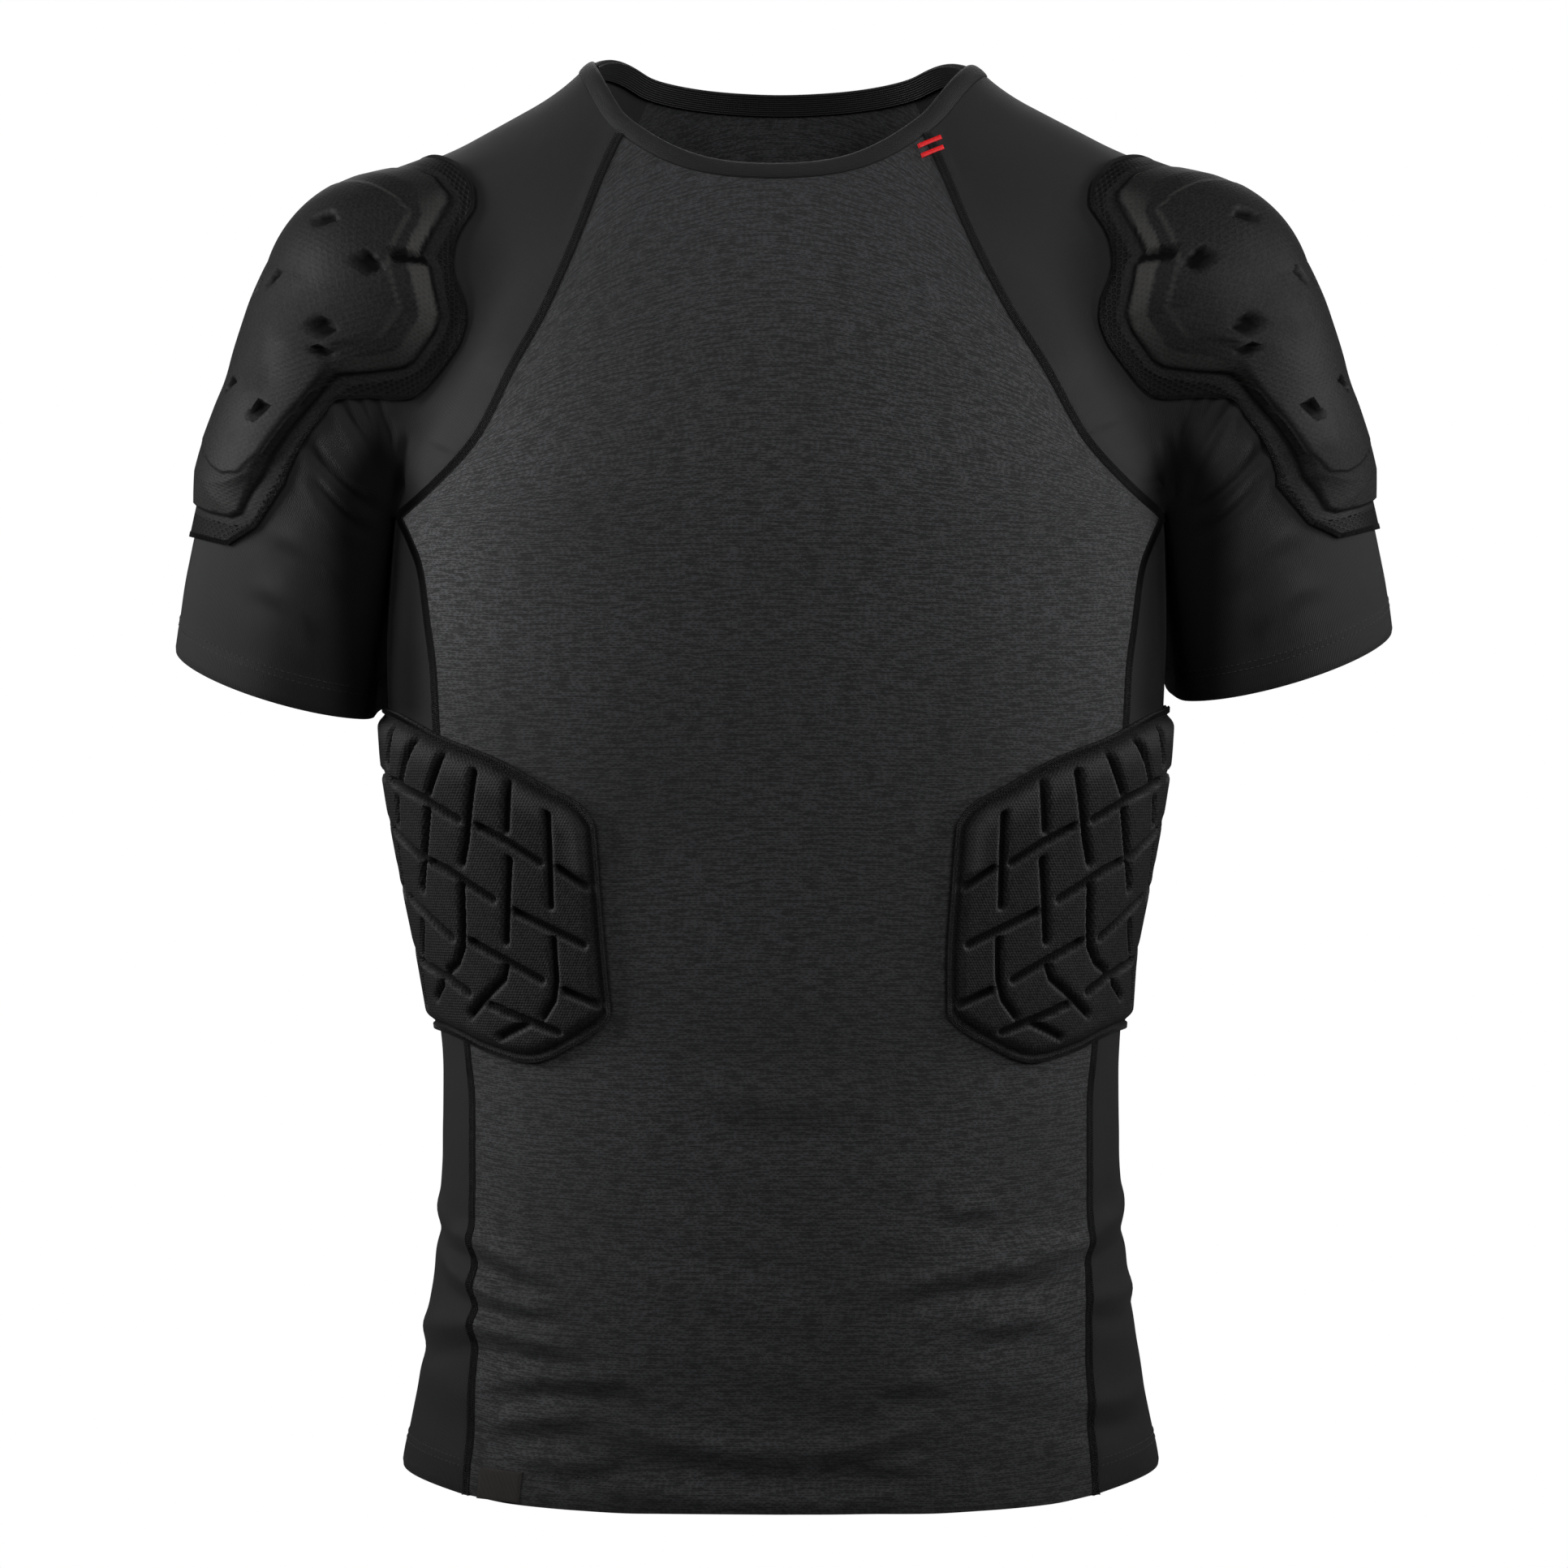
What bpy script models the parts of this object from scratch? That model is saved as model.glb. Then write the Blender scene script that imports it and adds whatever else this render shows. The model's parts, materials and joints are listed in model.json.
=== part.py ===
"""Padded compression shirt: short raglan sleeves, side panels, moulded shoulder and rib pads.

The shirt is worn by nobody, so it is a hollow shell in the shape it takes on a general figure.
Metres, +Z up, front towards -Y, origin in the middle of the neckline at high shoulder height.

Every panel is laid out on one smooth form, the outside of the cloth. The form is a torso, two
shoulder yokes and two arms blended together. Seams are short tables, panels are grids between
seams, and a wall is the grid plus a copy moved inwards. Pads are the same form moved outwards.
"""
import math
from collections import namedtuple

import bmesh
import bpy
import numpy as np

MM = 0.001

# Driving sizes
CLOTH = 1.5 * MM            # wall of the knit panels
HEM_CLOTH = 2.4 * MM        # turned-up hem and cuffs, two layers and the stitching
HEM_DEPTH = 17 * MM
SEAM_GAP = 0.36 * MM        # air between two pieces along a seam
RIB_LIFT = 1.1 * MM         # air between a rib pad and the body under it
LABEL_LIFT = 0.8 * MM
PIT_HEIGHT = -226 * MM      # lowest point of the armhole
CUFF_REACH = {-1: 1.035, 1: 0.985}   # sleeve length on each side, as a share of the arm table
CUFF_SLANT = 6 * MM         # how much lower a cuff is in front than at its sides
NECK_LEAN = -4 * MM         # the front neckline sits this far off centre
SIGHT = np.array([1.5, -2450.0, -358.0]) * MM   # where front seams were sighted from
SIDE_LENGTH = 482 * MM      # side seam, hem to armhole
SHARPEST_MITRE = 0.4        # stops a very sharp corner being pulled in too far

# How far rays run: from the sight point to just before the shirt, then through the torso, from
# the middle of the torso to its outside, from behind it, and from the middle of the arm
SIGHT_START = 2250 * MM
TORSO_REACH = 260 * MM
BEHIND = 200 * MM
ARM_SPREAD = 130 * MM

# How many quads each stretch of cloth has
ROWS_SIDE = 15
ROWS_RAGLAN = 11
ROWS_CUFF = 5
COLUMNS_BODY = 16
COLUMNS_SLEEVE = 22
COLUMNS_UNDERARM = 8


def table(columns, rows):
    """Name the columns of a short table of sizes in millimetres and give them in metres."""
    return dict(zip(columns.split(), np.array(rows, float).T * MM))


# Level sections of the torso under the pads, from above the neck to below the hem
TORSO = table("z half_width front back", [
    (-760, 186, 110, 112),
    (-700, 186, 109, 111),
    (-650, 178, 108, 108),
    (-600, 171, 106, 103),
    (-560, 167, 104, 98),
    (-500, 166, 103, 94),
    (-450, 170.5, 105, 94),
    (-400, 180, 109, 97),
    (-340, 189.5, 115, 104),
    (-280, 191.5, 120, 109),
    (-226, 191.5, 122, 112),
    (-150, 176, 113, 110),
    (-100, 160, 96, 101),
    (-60, 132, 74, 88),
    (-30, 88, 58, 76),
    (0, 80, 40, 62),
    (40, 60, 20, 45),
])
TORSO_SQUARENESS = 2.35

# One arm, by distance along its axis from the shoulder, which is at the first row
ARM = table("along half_width half_depth", [
    (0, 37, 43),
    (26, 50.5, 53),
    (52, 60.5, 58.5),
    (78, 64, 60.5),
    (104, 65, 60.5),
    (156, 62, 58.5),
    (208, 55.5, 55),
    (260, 54, 54),
])
ARM_TOP = np.array([191.5, 0, -121]) * MM
ARM_END = np.array([246, 20, -300]) * MM

# The yoke runs from beside the neck to the top of the arm
YOKE_NECK = np.array([47, 4, -48]) * MM
YOKE_NECK_RADIUS = 56.5 * MM
YOKE_ARM_RADIUS = 52 * MM
YOKE_BLEND = 30 * MM

# The worn shirt hangs a little off centre
ARM_SWAY = table("z x", [
    (-760, 2),
    (-220, 2.2),
    (-150, 3.3),
    (-90, 3.2),
    (-50, 2.2),
    (0, 0),
    (40, 0),
])
TORSO_SWAY = table("z x", [
    (-760, 0),
    (-490, 0),
    (-430, -2.3),
    (-320, -2.5),
    (-226, -1),
    (-150, 0),
    (40, 0),
])

# How softly arm and torso run into each other
ARM_BLEND = table("z reach", [
    (-760, 3),
    (-226, 3),
    (-205, 14),
    (-170, 40),
    (-120, 55),
    (40, 55),
])

# Seams of the front, as sighted on the plane through the shoulders
SIDE_SEAM = table("x z", [
    (155.5, -708.4),
    (153.0, -671),
    (151.8, -621),
    (152.2, -574),
    (152.2, -518),
    (154.5, -489),
    (160.0, -432),
    (165.5, -372),
    (170.0, -330),
    (171.5, -302),
    (174.5, -278),
    (178.0, -252),
    (183.0, -238),
    (188.6, -226),
])
RAGLAN_FRONT = table("x z", [
    (188.6, -226),
    (171.0, -210),
    (150.5, -187),
    (131.0, -151),
    (115.5, -125),
    (98.5, -90),
    (86.5, -60),
    (78.6, -36.4),
])
NECK_FRONT = table("x z", [
    (0, -60),
    (31.2, -57.2),
    (48.4, -52),
    (61.2, -44.8),
    (78.6, -36.4),
])

# Seams of the back, at their true x and z
RAGLAN_BACK = table("x z", [
    (174.5, -226),
    (163.0, -210),
    (147.0, -187),
    (131.0, -151),
    (119.0, -125),
    (103.0, -90),
    (88.0, -60),
    (77.0, -33),
    (70.0, -12),
])
NECK_BACK = table("x z", [
    (0, -18),
    (35, -16.5),
    (55, -14.5),
    (70, -12),
])
HEM_FRONT = table("x z", [
    (0, -718.4),
    (70, -718),
    (100, -716.4),
    (133, -713.2),
    (155.5, -708.4),
])
HEM_BACK = table("x z", [
    (0, -702),
    (90, -701.5),
    (150, -698),
])
HEM_SIDE_RISE = 7 * MM
UNDERARM_DIP = 4 * MM
ARMHOLE_TURN = 11 * MM      # the back armhole point sits this much further in than the front one

# Rows of the sleeve above the armhole: the middle of each row and how far its top leans up
SLEEVE_ROWS = table("share x y z", [
    (0, 219, 11, -213.8),
    (250, 200, 6, -165),
    (500, 176, 2, -122),
    (750, 135, 2, -85),
    (1000, 82, 4, -50),
])
SLEEVE_LEAN = np.array([16, 24, 45, 60, 68])


# Shoulder pad, row by row from its top edge: where the row is along the sleeve at the top of
# the arm and at its ends, how far round its flange and its raised body reach, how raised it is
# and how far it stands off the sleeve, all in thousandths
SHOULDER_PAD = table("ridge end flange raised rise lift", [
    (670, 677, 440, 360, 0, 1900),
    (648, 655, 560, 440, 0, 2000),
    (635, 640, 590, 500, 450, 2000),
    (600, 610, 620, 555, 700, 2100),
    (550, 560, 640, 575, 900, 2400),
    (505, 515, 690, 610, 750, 2800),
    (465, 480, 790, 680, 1000, 3000),
    (430, 445, 835, 740, 1000, 3400),
    (385, 400, 850, 750, 1000, 3600),
    (325, 330, 835, 735, 1000, 3400),
    (270, 272, 800, 660, 1000, 3400),
    (235, 232, 660, 570, 900, 3200),
    (200, 200, 585, 545, 1000, 2900),
    (155, 156, 572, 530, 1000, 2500),
    (110, 113, 560, 515, 1000, 2200),
    (45, 45, 548, 493, 1000, 1900),
    (-25, -25, 535, 470, 1000, 1650),
    (-95, -95, 525, 460, 1000, 1650),
    (-160, -160, 515, 450, 1000, 1500),
    (-265, -250, 500, 430, 800, 2100),
    (-290, -275, 490, 420, 0, 2000),
    (-430, -375, 442, 360, 0, 1900),
])
SHOULDER_FLANGE = 1.1 * MM
SHOULDER_RISE = 5.4 * MM
# Across half a pad row: share of the raised body, share of the flange, share of the full height
SHOULDER_ACROSS = [
    (0, 0, 1.0),
    (0.18, 0, 1.0),
    (0.35, 0, 1.0),
    (0.52, 0, 0.97),
    (0.68, 0, 0.94),
    (0.82, 0, 0.88),
    (0.94, 0, 0.7),
    (1, 0, 0.45),
    (1, 0.2, 0),
    (1, 1, 0),
]

# Rib pad, from the middle of the side towards the front: turn about the torso in degrees, top
# edge and bottom edge. The back half is its mirror image.
RIB_TURN = np.array([0, 12.8, 18.8, 24.5, 33.8, 43.9, 47.5, 49.4, 51.0])
RIB_EDGES = table("top bottom", [
    (-319, -477),
    (-323, -478),
    (-328, -481),
    (-335, -486),
    (-345, -491),
    (-361, -480.5),
    (-366, -475),
    (-372, -471),
    (-381, -464),
])
RIB_REACH = 50.6            # turn of the pad's front edge
# Grooves that run down the pad: turn at its top and at its bottom
RIB_DOWN = [(0, 0), (8, 5.5), (16.3, 11), (22.7, 16.5), (28.5, 22), (34.7, 28.5), (41, 37)]
# Grooves that run across it, slanting down to the front: share of its height at side and front
RIB_ACROSS = [(0.163, 0.377), (0.351, 0.639), (0.523, 0.86), (0.745, 0.955)]
RIB_GROOVE_TURN = 0.85      # half the width of a groove down, in degrees
RIB_GROOVE_HEIGHT = 0.012   # half the width of a groove across, as a share of the height
RIB_LIP = 1.6 * MM          # thickness of the bound edge
RIB_BODY = 4.8 * MM         # thickness inside it
RIB_GROOVE = 2.2 * MM       # depth of a groove
RIB_LIP_TURN = 1.3          # width of the bound edge in degrees, and as a share of the height
RIB_LIP_HEIGHT = 0.022

# Sections of the neckline: how far up from the seam, and how far out from the form
COLLAR_SECTION = table("up out", [
    (0.18, 0.3),
    (4.8, 0.8),
    (8.9, 0.5),
    (9.6, -0.6),
    (8.9, -1.8),
    (0.18, -1.8),
])
TAPE_SECTION = table("up out", [
    (-1.0, -2.16),
    (9.2, -2.16),
    (9.2, -3.16),
    (-1.0, -3.16),
])

# Hem label, by its sighted middle and its size
LABEL_MIDDLE = (-138.5, -703.5)
LABEL_SIZE = (21.0, 15.5)
LABEL_TILT = -7.0
LABEL_THICK = 0.9 * MM


def smooth_curve(keys, values, at):
    """Run a smooth curve through the rows of a table, with no overshoot between rows."""
    order = np.argsort(keys)
    keys = np.asarray(keys)[order]
    values = np.asarray(values)[order]
    steps = np.diff(keys)
    slopes = np.diff(values) / steps
    tangents = np.empty_like(values)
    tangents[0] = slopes[0]
    tangents[-1] = slopes[-1]
    same_way = slopes[:-1] * slopes[1:] > 0
    mean = 2 * slopes[:-1] * slopes[1:] / np.where(same_way, slopes[:-1] + slopes[1:], 1)
    tangents[1:-1] = np.where(same_way, mean, 0)
    at = np.clip(at, keys[0], keys[-1])
    row = np.clip(np.searchsorted(keys, at) - 1, 0, len(steps) - 1)
    part = (at - keys[row]) / steps[row]
    rest = 1 - part
    low = values[row] * (1 + 2 * part) + steps[row] * tangents[row] * part
    high = values[row + 1] * (3 - 2 * part) - steps[row] * tangents[row + 1] * rest
    return low * rest ** 2 + high * part ** 2


def unit(vectors):
    """Scale vectors to length one."""
    return vectors / np.linalg.norm(vectors, axis=-1, keepdims=True)


def blend(first, second, reach):
    """Join two forms, given as distances, with a fillet of the given reach."""
    overlap = np.maximum(reach - np.abs(first - second), 0) / reach
    return np.minimum(first, second) - overlap ** 2 * reach / 4


ARM_AXIS = unit(ARM_END - ARM_TOP)
ARM_OUT = unit(np.cross(ARM_AXIS, [0, 1, 0]))
ARM_BACK = np.cross(ARM_OUT, ARM_AXIS)
ARM_REACH = np.linalg.norm(ARM_END - ARM_TOP)
CUFF_FRONT = unit(-0.55 * ARM_OUT - 0.83 * ARM_BACK)
CUFF_BACK = unit(-0.55 * ARM_OUT + 0.83 * ARM_BACK)


def sway(offsets, points):
    """How far off centre the shirt hangs at the height of each point."""
    shift = smooth_curve(offsets["z"], offsets["x"], points[..., 2])
    return shift[..., None] * [1, 0, 0]


def own_side(points):
    """Mirror the left side onto the right, about the plane midway between the arms."""
    points = points - sway(ARM_SWAY, points)
    return points * np.where(points[..., :1] < 0, [-1, 1, 1], 1)


def put_on_side(side, points):
    """Put places on the right arm at the same places on the arm of the given side."""
    return points * [side, 1, 1] + sway(ARM_SWAY, points)


def torso_gap(points):
    """Distance of points from the torso, near enough, and negative inside it."""
    x, y, z = np.moveaxis(points - sway(TORSO_SWAY, points), -1, 0)
    width = smooth_curve(TORSO["z"], TORSO["half_width"], z)
    front = smooth_curve(TORSO["z"], TORSO["front"], z)
    back = smooth_curve(TORSO["z"], TORSO["back"], z)
    depth = np.where(y < 0, front, back)
    n = TORSO_SQUARENESS
    share = (np.abs(x / width) ** n + np.abs(y / depth) ** n) ** (1 / n)
    return (share - 1) * np.sqrt(width * depth)


def arm_gap(points):
    """Distance of points from the arm on their own side."""
    points = own_side(points)
    from_top = points - ARM_TOP
    along = from_top @ ARM_AXIS
    across = from_top @ ARM_OUT
    back = from_top @ ARM_BACK
    width = smooth_curve(ARM["along"], ARM["half_width"], along)
    depth = smooth_curve(ARM["along"], ARM["half_depth"], along)
    above = np.minimum(along, 0) / width
    share = np.sqrt((across / width) ** 2 + (back / depth) ** 2 + above ** 2)
    return (share - 1) * np.sqrt(width * depth)


def yoke_gap(points):
    """Distance of points from the tapered bar between neck and shoulder on their own side."""
    points = own_side(points)
    span = ARM_TOP - YOKE_NECK
    share = np.clip((points - YOKE_NECK) @ span / (span @ span), 0, 1)
    nearest = YOKE_NECK + share[..., None] * span
    radius = YOKE_NECK_RADIUS + share * (YOKE_ARM_RADIUS - YOKE_NECK_RADIUS)
    return np.linalg.norm(points - nearest, axis=-1) - radius


def figure_gap(points):
    """Distance of points from torso, yokes and arms blended together."""
    reach = smooth_curve(ARM_BLEND["z"], ARM_BLEND["reach"], points[..., 2])
    upper = blend(torso_gap(points), yoke_gap(points), YOKE_BLEND)
    return blend(upper, arm_gap(points), reach)


def body_gap(points):
    """The form of front, back and sides: the torso alone below the armhole."""
    below = points[..., 2] <= PIT_HEIGHT + 0.01 * MM
    return np.where(below, torso_gap(points), figure_gap(points))


def sleeve_gap(points):
    """The form of the closed part of a sleeve: an arm that stops just short of the torso."""
    drop = np.maximum(PIT_HEIGHT - points[..., 2], 0) / (90 * MM)
    room = SEAM_GAP + 4.5 * MM * drop ** 1.3
    return -blend(-arm_gap(points), torso_gap(points) - room, 5 * MM)


def outward(points, gap):
    """Unit normals of a form at points near it."""
    step = 0.05 * MM
    slopes = []
    for axis in np.eye(3):
        slopes.append(gap(points + axis * step) - gap(points - axis * step))
    return unit(np.stack(slopes, -1))


def body_outward(points):
    """Unit normals of the body, with the torso alone below the armhole."""
    below = points[..., 2:] <= PIT_HEIGHT + 0.01 * MM
    return np.where(below, outward(points, torso_gap), outward(points, figure_gap))


def cast(starts, directions, gap, reach, samples=160):
    """First places where rays change sides of a form."""
    shape = np.broadcast_shapes(np.shape(starts), np.shape(directions))
    starts = np.broadcast_to(starts, shape)
    directions = np.broadcast_to(directions, shape)
    steps = np.linspace(0, reach, samples)
    begins_inside = gap(starts) < 0
    near = np.zeros(shape[:-1])
    far = np.full(shape[:-1], reach)
    found = np.zeros(shape[:-1], bool)
    for step, last in zip(steps[1:], steps[:-1]):
        crossed = (gap(starts + directions * step) < 0) != begins_inside
        new = crossed & ~found
        near[new] = last
        far[new] = step
        found |= crossed
    for _ in range(36):
        middle = (near + far) / 2
        same = (gap(starts + directions * middle[..., None]) < 0) == begins_inside
        near = np.where(same, middle, near)
        far = np.where(same, far, middle)
    return starts + directions * far[..., None]


def lean(x, z):
    """Shift a front seam sideways where the neckline sits off centre."""
    share = np.clip((z + 200 * MM) / (150 * MM), 0, 1)
    return x + NECK_LEAN * share * share * (3 - 2 * share)


def sight_front(x, z, gap):
    """Drop sighted front points onto the form."""
    targets = np.stack([lean(x, z), np.zeros_like(x), z], -1)
    directions = unit(targets - SIGHT)
    starts = SIGHT + directions * SIGHT_START
    return cast(starts, directions, gap, TORSO_REACH)


def drop_back(x, z, gap):
    """Drop points of the back onto the form, straight from behind."""
    starts = np.stack([x, np.full_like(x, BEHIND), z], -1)
    return cast(starts, np.array([0.0, -1.0, 0.0]), gap, BEHIND)


def seam_points(seam, shares):
    """Points at given shares of the length of a seam in its x, z plane."""
    dense = np.linspace(0, 1, 400)
    rows = np.linspace(0, 1, len(seam["x"]))
    x = smooth_curve(rows, seam["x"], dense)
    z = smooth_curve(rows, seam["z"], dense)
    length = np.concatenate([[0], np.cumsum(np.hypot(np.diff(x), np.diff(z)))])
    at = np.asarray(shares) * length[-1]
    return np.interp(at, length, x), np.interp(at, length, z)


def mirrored(half):
    """Join a half curve, from the middle outwards, with its mirror image."""
    x, z = half
    return np.concatenate([-x[:0:-1], x]), np.concatenate([z[:0:-1], z])


SIDE_SHARES = np.concatenate([[0], np.linspace(HEM_DEPTH / SIDE_LENGTH, 1, ROWS_SIDE)])
RAGLAN_SHARES = np.linspace(0, 1, ROWS_RAGLAN + 1)


def body_panel(side, raglan, neck, hem, drop):
    """Grid of a front or back: rows from hem to neck, columns from one side to the other."""
    side_x, side_z = side
    up_x, up_z = seam_points(raglan, RAGLAN_SHARES)
    edge_x = np.concatenate([side_x[:-1], up_x])[:, None]
    edge_z = np.concatenate([side_z[:-1], up_z])[:, None]
    share = np.linspace(-1, 1, COLUMNS_BODY + 1)
    middle_out = share[share > -1e-9]
    hem_x = share * edge_x[0]
    hem_z = smooth_curve(hem["x"], hem["z"], np.abs(hem_x)) - hem["z"][-1]
    neck_x, neck_z = mirrored(seam_points(neck, middle_out))
    pull = ((edge_z - edge_z[0]) / (edge_z[-1] - edge_z[0])) ** 2.5
    x = edge_x * share + pull * (neck_x - edge_x[-1] * share)
    z = edge_z + (1 - pull) * hem_z + pull * (neck_z - edge_z[-1])
    return drop(x, z)


def side_panel(side, front, back):
    """Grid of a side panel: rows from hem to armhole, columns from front seam to back seam."""
    across = np.linspace(0, 1, COLUMNS_UNDERARM + 1)
    crown = 4 * across * (1 - across)
    middle = smooth_curve(TORSO_SWAY["z"], TORSO_SWAY["x"], front[:, 2])
    turn_front = np.arctan2(front[:, 1], side * (front[:, 0] - middle))[:, None]
    turn_back = np.arctan2(back[:, 1], side * (back[:, 0] - middle))[:, None]
    turn = turn_front + across * (turn_back - turn_front)
    z = front[:, 2:] + across * (back[:, 2:] - front[:, 2:])
    up = np.linspace(0, 1, len(front))[:, None]
    z = z + crown * (HEM_SIDE_RISE * (1 - up) ** 6 - UNDERARM_DIP * up ** 8)
    starts = np.stack([np.broadcast_to(middle[:, None], z.shape), 0 * z, z], -1)
    directions = np.stack([side * np.cos(turn), np.sin(turn), 0 * turn], -1)
    grid = cast(starts, directions, torso_gap, TORSO_REACH)
    grid[:, 0] = front
    grid[:, -1] = back
    return grid


def between(first, second, share):
    """Directions part of the way from one to another."""
    return unit(first * (1 - share) + second * share)


def mirror_side(side, vectors):
    """Turn directions on the right arm into those on the given side."""
    return vectors * [side, 1, 1]


def sleeve_rays(side, share, front, back):
    """Middle of each sleeve row and the directions of its front edge, top and back edge.

    Shares run from -1 at the cuff to 0 at the armhole and 1 at the neck.
    """
    share = np.asarray(share, float)[:, None]
    keys = SLEEVE_ROWS["share"]
    up = np.clip(share, 0, 1)
    x = smooth_curve(keys, SLEEVE_ROWS["x"], up)
    z = smooth_curve(keys, SLEEVE_ROWS["z"], up)
    y = smooth_curve(keys, SLEEVE_ROWS["y"], up)
    middle = put_on_side(side, np.concatenate([x, y, z], -1))
    lean_up = np.radians(smooth_curve(keys, SLEEVE_LEAN, up))
    top = mirror_side(side, np.concatenate([np.cos(lean_up), 0 * x, np.sin(lean_up)], -1))
    to_front = unit(np.stack([np.interp(up[:, 0], RAGLAN_SHARES, c) for c in front.T], -1) - middle)
    to_back = unit(np.stack([np.interp(up[:, 0], RAGLAN_SHARES, c) for c in back.T], -1) - middle)
    down = np.clip(-share, 0, 1)
    cuff = put_on_side(side, ARM_TOP + ARM_AXIS * ARM_REACH * CUFF_REACH[side])
    middle = middle + down * (cuff - middle)
    to_front = between(to_front, mirror_side(side, CUFF_FRONT), down)
    to_back = between(to_back, mirror_side(side, CUFF_BACK), down)
    top = between(top, mirror_side(side, ARM_OUT), down)
    return middle, to_front, top, to_back


def sleeve_points(side, share, around, front, back):
    """Points of a sleeve: around runs from -1 at its front seam, over the top, to 1 at its back."""
    share, around = np.broadcast_arrays(share, around)
    shape = share.shape
    share = share.ravel()
    around = around.ravel()[:, None]
    middle, to_front, top, to_back = sleeve_rays(side, share, front, back)
    ahead = between(top, to_front, np.clip(-around, 0, 1))
    behind = between(top, to_back, np.clip(around, 0, 1))
    directions = np.where(around < 0, ahead, behind)
    slant = np.clip(-share, 0, 1)[:, None] ** 3
    directions = slanted(side, directions, slant)
    on_figure = cast(middle, directions, figure_gap, ARM_SPREAD)
    on_arm = cast(middle, directions, sleeve_gap, ARM_SPREAD)
    return np.where(share[:, None] >= 0, on_figure, on_arm).reshape(*shape, 3)


def slanted(side, directions, share):
    """Tip directions so that a cuff hangs lower in front than behind."""
    axis = mirror_side(side, ARM_AXIS)
    return unit(directions - directions[..., 1:2] * share * axis * CUFF_SLANT / (55 * MM))


def sleeve_shell(side, front, back, underarm):
    """Points and faces of a sleeve: closed rows up to the armhole, then open rows to the neck."""
    around = np.linspace(-1, 1, COLUMNS_SLEEVE + 1)
    downs = np.linspace(-1, 0, ROWS_CUFF + 1)
    outer = sleeve_points(side, downs[:, None], around, front, back)
    outer[-1, 0] = front[0]
    outer[-1, -1] = back[0]
    under_edge = underarm[::-1][1:-1] + SEAM_GAP * outward(underarm[::-1][1:-1], torso_gap)
    middle, to_front, _, to_back = sleeve_rays(side, downs, front, back)
    to_edge = unit(under_edge - middle[-1])
    spread = np.linspace(0, 1, COLUMNS_UNDERARM + 1)[1:-1, None]
    inward = mirror_side(side, -ARM_OUT)
    to_cuff = np.where(spread < 0.5, between(to_back[0], inward, 2 * spread),
                       between(inward, to_front[0], 2 * spread - 1))
    down = -downs[:, None, None]
    directions = slanted(side, between(to_edge, to_cuff, down), down ** 3)
    starts = np.broadcast_to(middle[:, None], directions.shape)
    under = cast(starts, directions, sleeve_gap, ARM_SPREAD)
    under[-1] = under_edge
    rings = np.concatenate([outer, under], 1)
    strips = sleeve_points(side, RAGLAN_SHARES[1:, None], around, front, back)
    strips[:, 0] = front[1:]
    strips[:, -1] = back[1:]
    count = rings.shape[1]
    faces = grid_faces(rings.shape[0], count, True)
    first = (rings.shape[0] - 1) * count
    start = rings.shape[0] * count
    width = COLUMNS_SLEEVE + 1
    for column in range(COLUMNS_SLEEVE):
        faces.append((first + column, first + column + 1, start + column + 1, start + column))
    faces += [tuple(start + v for v in face) for face in grid_faces(ROWS_RAGLAN, width, False)]
    points = np.concatenate([rings.reshape(-1, 3), strips.reshape(-1, 3)])
    normals = np.concatenate([
        outward(rings, sleeve_gap).reshape(-1, 3),
        outward(strips, figure_gap).reshape(-1, 3),
    ])
    return points, normals, faces, strips[-1]


def grid_faces(rows, columns, closed):
    """Faces of a grid of points, closed on itself if its columns go all round."""
    faces = []
    for row in range(rows - 1):
        for column in range(columns if closed else columns - 1):
            right = (column + 1) % columns
            low = row * columns
            faces.append((low + column, low + right, low + columns + right, low + columns + column))
    return faces


def open_edges(faces):
    """Edges that only one face uses, in that face's direction."""
    edges = {}
    for face in faces:
        for first, second in zip(face, face[1:] + face[:1]):
            key = (min(first, second), max(first, second))
            edges[key] = None if key in edges else (first, second)
    return [edge for edge in edges.values() if edge]


def stand_clear(points, normals, faces, distance):
    """Pull the open edges of a surface in along itself, so pieces don't touch at a seam."""
    pulls = {}
    middles = {}
    for face in faces:
        centre = points[list(face)].mean(0)
        for first, second in zip(face, face[1:] + face[:1]):
            middles[(first, second)] = centre
    for first, second in open_edges(faces):
        along = unit(points[second] - points[first])
        normal = unit(normals[first] + normals[second])
        inward = np.cross(normal, along)
        if inward @ (middles[(first, second)] - points[first]) < 0:
            inward = -inward
        inward = unit(inward)
        for corner in (first, second):
            pulls.setdefault(corner, []).append(inward)
    moved = points.copy()
    for corner, inward in pulls.items():
        both = inward[0] + inward[1]
        moved[corner] += distance * both / max(1 + inward[0] @ inward[1], SHARPEST_MITRE)
    return moved


def walled(points, normals, faces, outer, inner):
    """Close a surface into a wall between two distances along its normals."""
    count = len(points)
    outer = np.broadcast_to(outer, count)[:, None]
    inner = np.broadcast_to(inner, count)[:, None]
    corners = np.concatenate([points + normals * outer, points + normals * inner])
    closed = list(faces)
    closed += [tuple(v + count for v in reversed(face)) for face in faces]
    for first, second in open_edges(faces):
        closed.append((second, first, first + count, second + count))
    return corners, closed


def link(name, corners, faces, material, collection):
    """Make a named object of a closed mesh, smooth except at its sharp edges."""
    mesh = bpy.data.meshes.new(name)
    mesh.from_pydata([tuple(c) for c in corners], [], faces)
    shape = bmesh.new()
    shape.from_mesh(mesh)
    bmesh.ops.recalc_face_normals(shape, faces=shape.faces)
    for edge in shape.edges:
        edge.smooth = edge.calc_face_angle(0) < math.radians(50)
    for face in shape.faces:
        face.smooth = True
    shape.to_mesh(mesh)
    shape.free()
    mesh.materials.append(material)
    piece = bpy.data.objects.new(name, mesh)
    collection.objects.link(piece)
    return piece


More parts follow.
